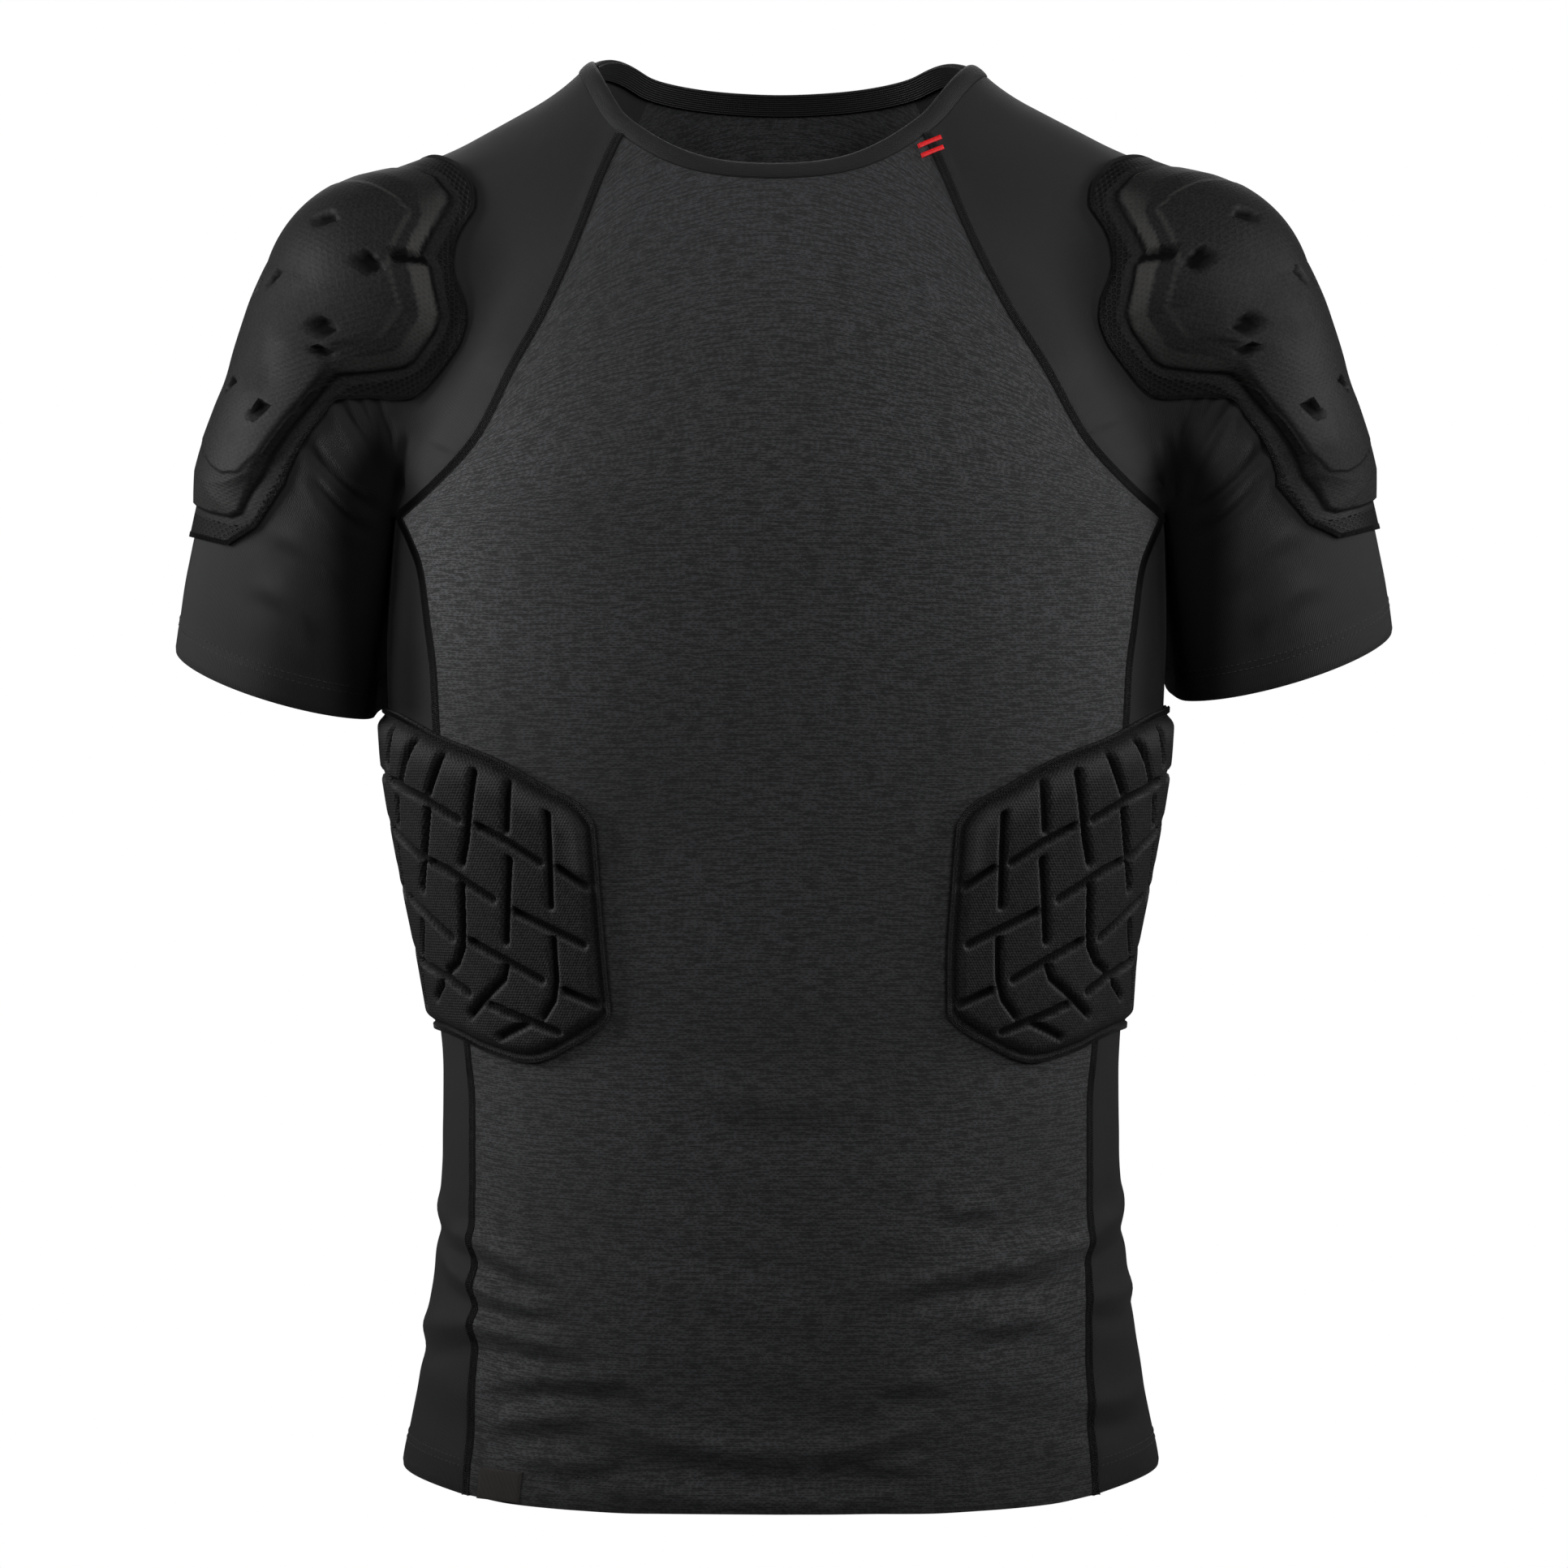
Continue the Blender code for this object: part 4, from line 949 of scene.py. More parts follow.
def smooth_knit(name, dark, pale, sheen, roughness=0.55, relief=0.00006, wale=0.0007):
    """A fine plain knit with a soft shine, and painted shade near the armpits."""
    made, tree, shader, on_cloth, in_object = begin(name, sheen=sheen, specular=0.22)
    knit = group(tree, "fine_knit", Place=on_cloth, Wale=wale)
    dye = group(tree, "uneven_dye", Place=in_object)
    tone = maths(tree, "MULTIPLY_ADD", knit["Slubs"], 0.6, maths(tree, "MULTIPLY", dye["Tone"],
                                                                 0.4))
    # Painted shade: near the armpits the base colour goes to near black and the roughness goes up.
    armpit_shade_mask = group(tree, "armpit_painted_shade", Place=in_object)["Mask"]
    armpit_shade_colour = tuple(0.06 * c for c in dark)
    feed(tree, shader["Base Color"], mix(tree, armpit_shade_mask, mix(tree, tone, dark, pale), armpit_shade_colour))
    evenly = ramp(tree, dye["Tone"], 0.0, 1.0, roughness, roughness + 0.1)
    feed(tree, shader["Roughness"], maths(tree, "MULTIPLY_ADD", armpit_shade_mask, 0.35, evenly))
    emboss(tree, shader, knit["Height"], relief)
    return made


KNIT_SHEEN = 0.06
TEXTURED = textured_knit("textured_knit_cloth", (0.0045, 0.0047, 0.0054), (0.042, 0.043, 0.047))
SMOOTH = smooth_knit("smooth_knit_cloth", (0.012, 0.012, 0.013), (0.022, 0.022, 0.0235), 0.04)
BINDING = smooth_knit("binding_cloth", (0.011, 0.011, 0.012), (0.019, 0.019, 0.020), 0.05)
TAPE = smooth_knit("neck_tape_cloth", (0.005, 0.005, 0.006), (0.009, 0.009, 0.010), 0.05,
                   0.42, 0.00008, 0.0011)
LABEL = smooth_knit("woven_label_cloth", (0.030, 0.025, 0.023), (0.050, 0.043, 0.039), 0.1,
                    0.6, 0.0001, 0.0005)
SEAM_BAND = smooth_knit("seam_band_cloth", (0.003, 0.003, 0.0035), (0.007, 0.007, 0.008), 0.02,
                        0.7, 0.00012, 0.0009)
THREAD = smooth_knit("sewing_thread", (0.030, 0.030, 0.031), (0.052, 0.052, 0.054), 0.1,
                     0.5, 0.00003, 0.0004)
PALE_THREAD = smooth_knit("binding_thread", (0.045, 0.045, 0.046), (0.080, 0.080, 0.081), 0.1,
                          0.5, 0.00003, 0.0004)
RED_THREAD = smooth_knit("bar_tack_thread", (0.80, 0.012, 0.016), (0.95, 0.035, 0.040), 0.0,
                         0.5, 0.00004, 0.0006)
print("knit finishes made")

# %% [markdown]
# The pads are foam moulded into a skin. Their skin has a fine dimpled grain. A painted highlight
# makes it paler on proud parts that face the lamps, painted shade makes it dark where it is
# pressed into a groove, a vent or the foot of a wall, and the flange round the shoulder pad is an
# open mesh that shows as rows of dark holes. An attribute on the mesh tells these zones apart, so
# one material can serve the whole pad.

# %% Pad skins
def pad_skin(name, step, relief, grain, skin, speckle_and_highlight, hole_and_shade):
    """Moulded skin: dimples, open mesh, painted highlights on high spots and painted shade in
    grooves, told by its zones.
    """
    made, tree, shader, on_cloth, in_object = begin(name, sheen=0.0, specular=0.2)
    zone = place(tree, "Attribute", attribute_name="zone").outputs["Color"]
    mesh, painted_highlight, painted_shade = place(tree, "SeparateColor", zone).outputs
    dimples = group(tree, "dot_lattice", Place=on_cloth, Step=step, Size=0.30, Softness=0.16)
    holes = group(tree, "dot_lattice", Place=on_cloth, Step=0.0021, Size=0.30, Softness=0.07)
    dye = group(tree, "uneven_dye", Place=in_object, Scale=22.0)
    # Painted highlight: the colour moves towards the pale one by the highlight mask; the speckle
    # adds random tone.
    tone = maths(tree, "MULTIPLY_ADD", dye["Speckle"], 0.14, maths(tree, "MULTIPLY", painted_highlight, 0.86))
    colour = mix(tree, tone, skin, speckle_and_highlight)
    colour = mix(tree, maths(tree, "MULTIPLY", dimples["Dots"], grain), colour, hole_and_shade)
    netting = mix(tree, holes["Dots"], tuple(0.6 * c for c in skin), tuple(0.1 * c for c in hole_and_shade))
    colour = mix(tree, mesh, colour, netting)
    # Painted shade: grooves, vents and the foot of a wall are coloured near black and made
    # rougher.
    feed(tree, shader["Base Color"], mix(tree, painted_shade, colour, tuple(0.08 * c for c in hole_and_shade)))
    evenly = ramp(tree, dye["Tone"], 0.0, 1.0, 0.60, 0.72)
    feed(tree, shader["Roughness"], maths(tree, "MULTIPLY_ADD", painted_shade, 0.3, evenly))
    body = maths(tree, "MULTIPLY", dimples["Dots"], -relief)
    net = maths(tree, "MULTIPLY", holes["Dots"], -0.0006)
    chosen = maths(tree, "ADD", maths(tree, "MULTIPLY", net, mesh), maths(
        tree, "MULTIPLY", body, maths(tree, "SUBTRACT", 1.0, mesh)))
    emboss(tree, shader, maths(tree, "MULTIPLY_ADD", dye["Speckle"], 0.00004, chosen), 1.0)
    return made


SHOULDER_SKIN = pad_skin("shoulder_pad_skin", 0.0017, 0.00006, 0.2, (0.0066, 0.0066, 0.0069),
                         (0.080, 0.078, 0.075), (0.005, 0.005, 0.005))
RIB_SKIN = pad_skin("rib_pad_skin", 0.0015, 0.00022, 0.5, (0.0062, 0.0062, 0.0066),
                    (0.110, 0.110, 0.108), (0.0030, 0.0030, 0.0030))
print("pad skins made")

# %% [markdown]
# ## Cutting the panels
#
# Front and back are grids from one side seam to the other. Below the armhole a row runs between
# the side seams, above it between the raglan seams. Side panels fill the space under the arm.
# Each is laid on the form first, because the pieces beside it start from its edges.

# %% Lay out the body
side_x, side_z = seam_points(SIDE_SEAM, SIDE_SHARES)
front = body_panel((side_x, side_z), RAGLAN_FRONT, NECK_FRONT, HEM_FRONT,
                   lambda x, z: sight_front(x, z, body_gap))
true_side = (front[:ROWS_SIDE + 1, -1, 0] - front[:ROWS_SIDE + 1, 0, 0]) / 2
true_side = true_side - ARMHOLE_TURN * SIDE_SHARES ** 3
true_height = (front[:ROWS_SIDE + 1, -1, 2] + front[:ROWS_SIDE + 1, 0, 2]) / 2
back = body_panel((true_side, true_height), RAGLAN_BACK, NECK_BACK, HEM_BACK,
                  lambda x, z: drop_back(x, z, body_gap))
sides = {}
for side, edge in EDGE.items():
    sides[side] = side_panel(side, front[:ROWS_SIDE + 1, edge], back[:ROWS_SIDE + 1, edge])
print("front", front.shape, "back", back.shape, "side", sides[1].shape)


# %% [markdown]
# ## Sleeves
#
# A raglan sleeve is a tube up to the armhole and an open strip from there to the neckline. Its
# rows are rings first and strips after that, so one mesh holds the whole sleeve. Its map counts
# from the top of the sleeve down both sides, and its only jump is at the underarm seam, where
# the real sleeve is sewn shut as well. Beside the armhole a ray can slip past the arm and land on
# the torso. Such stray points are caught by their long step and drawn back into line.

# %% Lay out a sleeve
def under_rows(side, front_edge, back_edge, underarm, downs):
    """The part of the rings under the arm."""
    inner = underarm[::-1][1:-1]
    under_edge = inner + SEAM_GAP * outward(inner, torso_gap)
    middle, to_front, _, to_back = sleeve_rays(side, downs, front_edge, back_edge)
    to_edge = unit(under_edge - middle[-1])
    spread = np.linspace(0, 1, COLUMNS_UNDERARM + 1)[1:-1, None]
    inward = mirror_side(side, -ARM_OUT)
    to_cuff = np.where(spread < 0.5, between(to_back[0], inward, 2 * spread),
                       between(inward, to_front[0], 2 * spread - 1))
    down = -downs[:, None, None]
    directions = slanted(side, between(to_edge, to_cuff, down), down ** 3)
    starts = np.broadcast_to(middle[:, None], directions.shape)
    under = cast(starts, directions, sleeve_gap, ARM_SPREAD)
    under[-1] = under_edge
    return under


def steadied(grid, reach=20):
    """Replace stray points beside a seam by even steps up to their first good neighbour."""
    steady = grid.copy()
    for row in steady:
        for line in (row[:reach], row[::-1][:reach]):
            step = np.linalg.norm(np.diff(line, axis=0), axis=-1)
            stray = np.flatnonzero(step > 2.2 * np.median(step))
            if len(stray):
                good = min(stray[-1] + 2, reach - 1)
                share = np.linspace(0, 1, good + 1)[:, None]
                line[:good + 1] = line[0] + (line[good] - line[0]) * share
    return steady


def sleeve_grids(side, front_edge, back_edge, underarm):
    """Rings from the cuff to the armhole, and strips from there to the neck."""
    even = np.linspace(-1, 1, COLUMNS_SLEEVE + 1)
    around = 1.25 * even - 0.25 * even ** 3         # closer together near the seams
    downs = np.linspace(-1, 0, ROWS_CUFF + 1)
    outer = sleeve_points(side, downs[:, None], around, front_edge, back_edge)
    outer[-1, 0] = front_edge[0]
    outer[-1, -1] = back_edge[0]
    outer[-4:] = steadied(outer[-4:])
    under = under_rows(side, front_edge, back_edge, underarm, downs)
    strips = sleeve_points(side, RAGLAN_SHARES[1:, None], around, front_edge, back_edge)
    strips[:, 0] = front_edge[1:]
    strips[:, -1] = back_edge[1:]
    return np.concatenate([outer, under], 1), steadied(strips)


def sleeve_places(rings, strips):
    """Distances on the sleeve's cloth: across from the top of the arm, up from the cuff."""
    top = COLUMNS_SLEEVE // 2
    half = COLUMNS_SLEEVE + COLUMNS_UNDERARM // 2
    behind = grid_places(rings[:, top:half + 1], 0)
    order = list(range(half + 1, rings.shape[1])) + list(range(top + 1))
    ahead = grid_places(rings[:, order], len(order) - 1)
    places = np.empty(rings.shape[:2] + (2,))
    places[:, order] = ahead
    places[:, top:half + 1] = behind
    upper = grid_places(strips, top)
    step = np.linalg.norm(strips[0] - rings[-1, :COLUMNS_SLEEVE + 1], axis=-1)
    upper[..., 1] += places[-1, :COLUMNS_SLEEVE + 1, 1] + step
    return places, upper


def sleeve_faces(rings, strips):
    """Faces of the rings, of the join at the armhole and of the strips."""
    rows, count = rings.shape[:2]
    faces = grid_faces(rows, count, True)
    first = (rows - 1) * count
    start = rows * count
    for column in range(COLUMNS_SLEEVE):
        faces.append((first + column, first + column + 1, start + column + 1, start + column))
    upper = grid_faces(*strips.shape[:2], False)
    return faces + [tuple(start + v for v in face) for face in upper]


def seam_fade(rings, strips):
    """One over the sleeve's cloth and zero at its seams, so creases die out there."""
    column = np.arange(COLUMNS_SLEEVE + 1)
    fade = soft_step(np.clip(np.minimum(column, COLUMNS_SLEEVE - column) / 5, 0, 1))
    upper = np.broadcast_to(fade, strips.shape[:2])
    row = np.clip((len(rings) - 1 - np.arange(len(rings))) / 9, 0, 1)[:, None]
    lower = np.ones(rings.shape[:2]) * row
    lower[:, :COLUMNS_SLEEVE + 1] = row + (1 - row) * fade
    return lower, upper


# %% Lay out both sleeves
sleeve_layouts = {}
for side, edge in EDGE.items():
    sleeve_layouts[side] = sleeve_grids(side, front[ROWS_SIDE:, edge], back[ROWS_SIDE:, edge],
                                        sides[side][-1])
print("sleeve rings and strips:", [grid.shape for grid in sleeve_layouts[1]])

# %% [markdown]
# The neckline is cut from four panels, and a maker trims it to one smooth curve before the
# binding goes on. Here the loop through all four top edges is eased in the same way: it is
# rounded, put back on the form, and the rows just below it follow by less and less.

# %% Ease the neckline
EASE_ROWS = 18
EASE_WIDTH = 7.0                # in points of the loop
SLEEVE_SCOOP = 3.6 * MM         # how much the sleeves are scooped beside the neck


def neck_loop():
    """The neckline through all four panels, from the left front round to the left sleeve."""
    right = sleeve_layouts[1][1][-1]
    left = sleeve_layouts[-1][1][-1]
    return np.concatenate([front[-1, :-1], right[:-1], back[-1, :0:-1], left[:0:-1]])


def onto_form(points):
    """Put points that are near the form on it."""
    for _ in range(4):
        points = points - outward(points, figure_gap) * figure_gap(points)[..., None]
    return points


def eased(loop):
    """A neckline loop with scooped sleeves and rounded corners."""
    count = len(loop)
    scoop = np.zeros(count)
    share = np.arange(COLUMNS_SLEEVE + 1) / COLUMNS_SLEEVE
    shape = np.sin(math.pi * share ** 0.62) ** 1.3
    scoop[COLUMNS_BODY:COLUMNS_BODY + COLUMNS_SLEEVE + 1] = shape
    left = (2 * COLUMNS_BODY + COLUMNS_SLEEVE + np.arange(COLUMNS_SLEEVE + 1)) % count
    scoop[left] = shape[::-1]
    along = np.roll(loop, -1, 0) - np.roll(loop, 1, 0)
    away = -unit(np.cross(outward(loop, figure_gap), along))
    moved = loop + away * (scoop * SLEEVE_SCOOP)[:, None]
    offsets = np.arange(-24, 25)
    weights = np.exp(-(offsets / EASE_WIDTH) ** 2 / 2)
    smooth = sum(w * np.roll(moved, -o, 0) for w, o in zip(weights, offsets)) / weights.sum()
    return onto_form(smooth)


def follow(grid, shifts):
    """Let the top rows of a grid follow the shifts of its neck edge."""
    rows = np.arange(EASE_ROWS, -1, -1)
    part = (1 - rows / (EASE_ROWS + 1)) ** 2
    top = grid[-1 - EASE_ROWS:] + part[:, None, None] * shifts
    grid[-1 - EASE_ROWS:-1] = onto_form(top[:-1])
    grid[-1] = top[-1]


# %% Let all four panels follow it
loop = neck_loop()
shifts = eased(loop) - loop
print("neckline eased by up to", round(float(np.linalg.norm(shifts, axis=-1).max()) / MM, 1), "mm")
turn_right = COLUMNS_BODY + COLUMNS_SLEEVE
turn_left = turn_right + COLUMNS_BODY
pad_edges = {side: (front[ROWS_SIDE:, edge].copy(), back[ROWS_SIDE:, edge].copy())
             for side, edge in EDGE.items()}
follow(front, shifts[:COLUMNS_BODY + 1])
follow(sleeve_layouts[1][1], shifts[COLUMNS_BODY:turn_right + 1])
follow(back, shifts[turn_right:turn_left + 1][::-1])
follow(sleeve_layouts[-1][1], np.concatenate([shifts[turn_left:], shifts[:1]])[::-1])

# %% [markdown]
# The hem is turned up inside and held by two rows of stitches. Outside it shows as a faint
# swelling between two shallow dents. The same profile is used for the cuffs, so it is a function
# of the distance from the edge.

# %% The turned-up hem
STITCH_ROWS = (13.0, 16.2)      # millimetres up from the edge


def hem_profile(up):
    """How a turned-up hem lifts the cloth, by distance from the edge, in metres."""
    up = up / MM
    lift = 0.35 / (1 + np.exp((up - 17.2) / 0.5)) - 0.5 * np.exp(-(up / 0.8) ** 2)
    for row in STITCH_ROWS:
        lift = lift - 0.30 * np.exp(-((up - row) / 0.8) ** 2)
    return lift * MM


def drape_body(grid, normals):
    """Put the creases and the hem on a body grid."""
    lift = body_drape(grid) + hem_profile(distances(grid))
    return grid + normals * lift[..., None]


def finish_piece(piece, finish, slot, *nodes):
    """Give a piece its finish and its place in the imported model."""
    piece.data.materials.append(finish)
    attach(piece, "root")
    if nodes:
        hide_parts(*nodes)
    return piece


def body_piece(name, grid, normals, middle, finish, slot, node):
    faces = grid_faces(*grid.shape[:2], False)
    places = grid_places(grid, middle)
    draped = drape_body(grid, normals)
    piece = cloth_wall(name, draped.reshape(-1, 3), normals.reshape(-1, 3), faces,
                       places.reshape(-1, 2))
    finish_piece(piece, finish, slot, node)
    return piece


# %% Front and back
front_normals = body_outward(front)
back_normals = body_outward(back)
body_piece("front_cloth", front, front_normals, COLUMNS_BODY // 2, TEXTURED, "textured_knit",
           "front_panel")
body_piece("back_cloth", back, back_normals, COLUMNS_BODY // 2, TEXTURED, "textured_knit",
           "back_panel")

# %% Side panels
for side, letter in SIDES:
    body_piece("side_cloth_" + letter, sides[side], outward(sides[side], torso_gap),
               COLUMNS_UNDERARM // 2, SMOOTH, "smooth_knit", "side_panel_" + letter)


# %% Sleeves
for side, letter in SIDES:
    rings, strips = sleeve_layouts[side]
    ring_normals = outward(rings, sleeve_gap)
    strip_normals = outward(strips, figure_gap)
    ring_places, strip_places = sleeve_places(rings, strips)
    ring_fade, strip_fade = seam_fade(rings, strips)
    ring_lift = sleeve_drape(rings, ring_normals) * ring_fade + hem_profile(ring_places[..., 1])
    strip_lift = sleeve_drape(strips, strip_normals) * strip_fade
    points = np.concatenate([(rings + ring_normals * ring_lift[..., None]).reshape(-1, 3),
                             (strips + strip_normals * strip_lift[..., None]).reshape(-1, 3)])
    normals = np.concatenate([ring_normals.reshape(-1, 3), strip_normals.reshape(-1, 3)])
    places = np.concatenate([ring_places.reshape(-1, 2), strip_places.reshape(-1, 2)])
    piece = cloth_wall("sleeve_cloth_" + letter, points, normals, sleeve_faces(rings, strips),
                       places)
    finish_piece(piece, SMOOTH, "smooth_knit", "sleeve_" + letter)
    length = float(np.ptp(places[:, 1]))


# %% [markdown]
# ## Sewing
#
# The panels meet edge to edge under flat seams: a band of threads on top of both edges, crossed
# by two zigzags. A band is swept along the seam with a low domed section. The zigzags are thin
# tubes that climb from one side of the band to the other and back.

# %% Bands and threads along a line
def seam_frame(line, gap):
    """Outward and sideways directions at every point of a line on the form."""
    out = outward(line, gap)
    along = unit(np.gradient(line, axis=0))
    return out, unit(np.cross(along, out))


def respaced(line, step):
    """Points at equal steps along a line."""
    length = distances(line)
    count = max(2, int(round(length[-1] / step)) + 1)
    at = np.linspace(0, length[-1], count)
    return np.stack([np.interp(at, length, line[:, k]) for k in range(3)], -1), at


def swept(line, out, across, section, at):
    """A closed bar of the given section (sideways, outward) along a line."""
    rings = np.stack([line + across * side + out * up for side, up in section], 1)
    count = len(section)
    faces = grid_faces(len(line), count, True)
    last = (len(line) - 1) * count
    faces.append(tuple(reversed(range(count))))
    faces.append(tuple(last + v for v in range(count)))
    around = running(np.hypot(*np.diff(section, axis=0).T))
    places = np.stack(np.broadcast_arrays(around, at[:, None]), -1)
    return rings.reshape(-1, 3), faces, places.reshape(-1, 2)


def tube(line, out, radius):
    """Corners and faces of a thin four-sided thread along a zigzag."""
    along = unit(np.gradient(line, axis=0))
    across = unit(np.cross(along, out))
    rings = np.stack([line + across * radius, line + out * radius, line - across * radius,
                      line - out * radius], 1)
    faces = grid_faces(len(line), 4, True)
    faces.append((3, 2, 1, 0))
    last = (len(line) - 1) * 4
    faces.append((last, last + 1, last + 2, last + 3))
    return rings.reshape(-1, 3), faces


def joined(parts):
    """Several corner and face lists as one."""
    corners, faces, start = [], [], 0
    for points, some in parts:
        corners.append(points)
        faces += [tuple(start + v for v in face) for face in some]
        start += len(points)
    return np.concatenate(corners), faces


# Section of a band, sideways and outwards, from one of its edges to the other
BAND_SECTION = np.array([
    (-2.5, -0.25), (-2.45, 0.2), (-1.9, 0.5), (-0.9, 0.42), (0, 0.34), (0.9, 0.42), (1.9, 0.5),
    (2.45, 0.2), (2.5, -0.25),
]) * MM
BAND_STEP = 1.6 * MM
THREAD_RADIUS = 0.2 * MM
THREAD_OVER = 0.12 * MM         # how much higher the second zigzag lies
ZIGZAG = 0.85 * MM              # half the pitch of a zigzag


def zigzags(line, gap, drape, half=2.05 * MM, step=ZIGZAG, rise=0.62 * MM):
    """Two crossing zigzag threads along a line on the form."""
    points, _ = respaced(line, step)
    out, across = seam_frame(points, gap)
    lift = drape(points, out)
    parts = []
    for phase in (0, 1):
        swing = np.where((np.arange(len(points)) + phase) % 2 == 0, -half, half)
        high = lift + rise + THREAD_OVER * phase
        zig = points + across * swing[:, None] + out * high[:, None]
        parts.append(tube(zig, out, THREAD_RADIUS))
    return parts


def thread_piece(name, parts, finish, slot):
    """Make one piece of all the given threads."""
    corners, faces = joined(parts)
    piece = make_mesh(name, corners, faces, corners[:, [0, 2]], 80)
    return finish_piece(piece, finish, slot)


def no_drape(points, out):
    """The lift of cloth without creases."""
    return np.zeros(len(points))


def body_lift(points, out):
    """The lift of the body's creases along a seam."""
    return body_drape(points)


def sew(name, line, gap, drape=no_drape):
    """Lay a seam band and its zigzags along a line."""
    points, at = respaced(line, BAND_STEP)
    out, across = seam_frame(points, gap)
    points = points + out * drape(points, out)[:, None]
    corners, faces, places = swept(points, out, across, BAND_SECTION, at)
    finish_piece(make_mesh(name + "_band", corners, faces, places, 50), SEAM_BAND, "smooth_knit")
    thread = thread_piece(name + "_thread", zigzags(line, gap, drape), THREAD, "smooth_knit")
    print(name, round(float(at[-1]), 3), "m, thread faces", len(thread.data.polygons))


# %% Flat seams of the body and the raglans
for side, letter in SIDES:
    edge = EDGE[side]
    sew("side_seam_front_" + letter, front[:ROWS_SIDE + 1, edge], torso_gap, body_lift)
    sew("side_seam_back_" + letter, back[:ROWS_SIDE + 1, edge], torso_gap, body_lift)
    sew("raglan_front_" + letter, front[ROWS_SIDE:, edge], figure_gap)
    sew("raglan_back_" + letter, back[ROWS_SIDE:, edge], figure_gap)

# %% [markdown]
# The hem and the cuffs are held by two parallel rows of straight stitches. Each stitch is a
# short thread that dips into the cloth at both ends. One stitch is modelled and copied to every
# place on the row, all in one mesh, because there are hundreds.

# %% Stitch rows of hem and cuffs
STITCH = 2.3 * MM               # length of a stitch, and the step from one to the next
STITCH_STEP = 3.0 * MM
STITCH_RADIUS = 0.24 * MM
STITCH_PROUD = 0.1 * MM         # how far a row stands out of its dent


def stitch_row(line, gap, drape):
    """Short separate stitches along a line."""
    points, _ = respaced(line, STITCH_STEP)
    out, _ = seam_frame(points, gap)
    lift = drape(points, out)
    along = unit(np.gradient(points, axis=0))
    parts = []
    for point, up, ahead, high in zip(points, out, along, lift):
        share = np.array([-0.5, -0.28, 0, 0.28, 0.5])[:, None]
        rise = np.array([-0.30, 0.12, 0.22, 0.12, -0.30])[:, None] * MM
        stitch = point + ahead * share * STITCH + up * (high + rise)
        parts.append(tube(stitch, np.broadcast_to(up, stitch.shape), STITCH_RADIUS))
    return parts


def row_above(grid, up):
    """The line that lies the given distance above the edge of a grid."""
    places = grid_places(grid, 0)[..., 1]
    line = []
    for column in range(grid.shape[1]):
        line.append([np.interp(up, places[:, column], grid[:, column, k]) for k in range(3)])
    return np.array(line)


parts = []
for up in STITCH_ROWS:
    dent = float(hem_profile(np.array(up * MM)))
    for grid in (front, back, sides[-1], sides[1]):
        parts += stitch_row(row_above(grid, up * MM)[1:-1], torso_gap,
                            lambda points, out: body_drape(points) + dent + STITCH_PROUD)
hem_stitches = thread_piece("hem_stitches", parts, THREAD, "smooth_knit")
for side, letter in SIDES:
    rings = sleeve_layouts[side][0]
    parts = []
    for up in STITCH_ROWS:
        dent = float(hem_profile(np.array(up * MM)))
        line = row_above(np.concatenate([rings, rings[:, :1]], 1), up * MM)
        parts += stitch_row(line, sleeve_gap,
                            lambda points, out: np.full(len(points), dent + STITCH_PROUD))
    thread_piece("cuff_stitches_" + letter, parts, THREAD, "smooth_knit")
print("hem stitch triangles:", 2 * len(hem_stitches.data.polygons))

# %% [markdown]
# ## Neckline
#
# The neck is bound with a folded strip of plain knit, thick in the middle and rolled over at the
# top. A flat tape covers the seam inside the back of the neck. Both are swept round the
# neckline. The sections are lists of how far up from the seam and how far out from the form.

# %% Sweep a band round the neck
def band(loop, closed, section, gap):
    """Corners and faces of a band of the given section along a line on the form."""
    normals = outward(loop, gap)
    if closed:
        along = np.roll(loop, -1, 0) - np.roll(loop, 1, 0)
    else:
        along = np.gradient(loop, axis=0)
    up = unit(np.cross(normals, along))
    rings = [loop + up * rise + normals * out for rise, out in zip(section["up"], section["out"])]
    rings = np.stack(rings, 1)
    count = len(section["up"])
    faces = []
    for row in range(len(loop) if closed else len(loop) - 1):
        ahead = (row + 1) % len(loop)
        for step in range(count):
            turn = (step + 1) % count
            faces.append((row * count + step, row * count + turn, ahead * count + turn,
                          ahead * count + step))
    if not closed:
        last = (len(loop) - 1) * count
        faces.append(tuple(range(count)))
        faces.append(tuple(last + step for step in reversed(range(count))))
    return rings.reshape(-1, 3), faces


def neck_piece(name, loop, closed, section, finish, slot, node):
    corners, faces = band(loop, closed, section, figure_gap)
    count = len(section["up"])
    along = np.repeat(distances(loop), count)
    around = running(np.hypot(np.diff(section["up"]), np.diff(section["out"])))
    places = np.stack([np.tile(around, len(loop)), along], -1)
    piece = make_mesh(name, corners, faces, places, 45)
    finish_piece(piece, finish, slot, node)
    return piece


# %% Collar and neck tape
loop = neck_loop()
COLLAR_SECTION = table("up out", [
    (0.18, -1.7), (0.18, -0.2), (0.5, 0.35), (1.3, 0.75), (2.8, 1.0), (4.6, 1.05), (6.4, 0.9),
    (7.8, 0.6), (8.8, 0.15), (9.4, -0.45), (9.5, -1.0), (9.1, -1.55), (8.2, -1.85), (6, -1.9),
    (3, -1.85),
])
neck_piece("collar_cloth", loop, True, COLLAR_SECTION, BINDING, "binding_knit",
           "collar_binding")
behind = loop[COLUMNS_BODY + COLUMNS_SLEEVE // 2:][:COLUMNS_SLEEVE + COLUMNS_BODY + 1]
TAPE_SECTION = table("up out", [
    (-1.0, -2.25), (4, -2.2), (9.0, -2.25), (9.25, -2.5), (9.25, -2.9), (9.0, -3.15), (4, -3.1),
    (-1.0, -3.15), (-1.25, -2.9), (-1.25, -2.5),
])
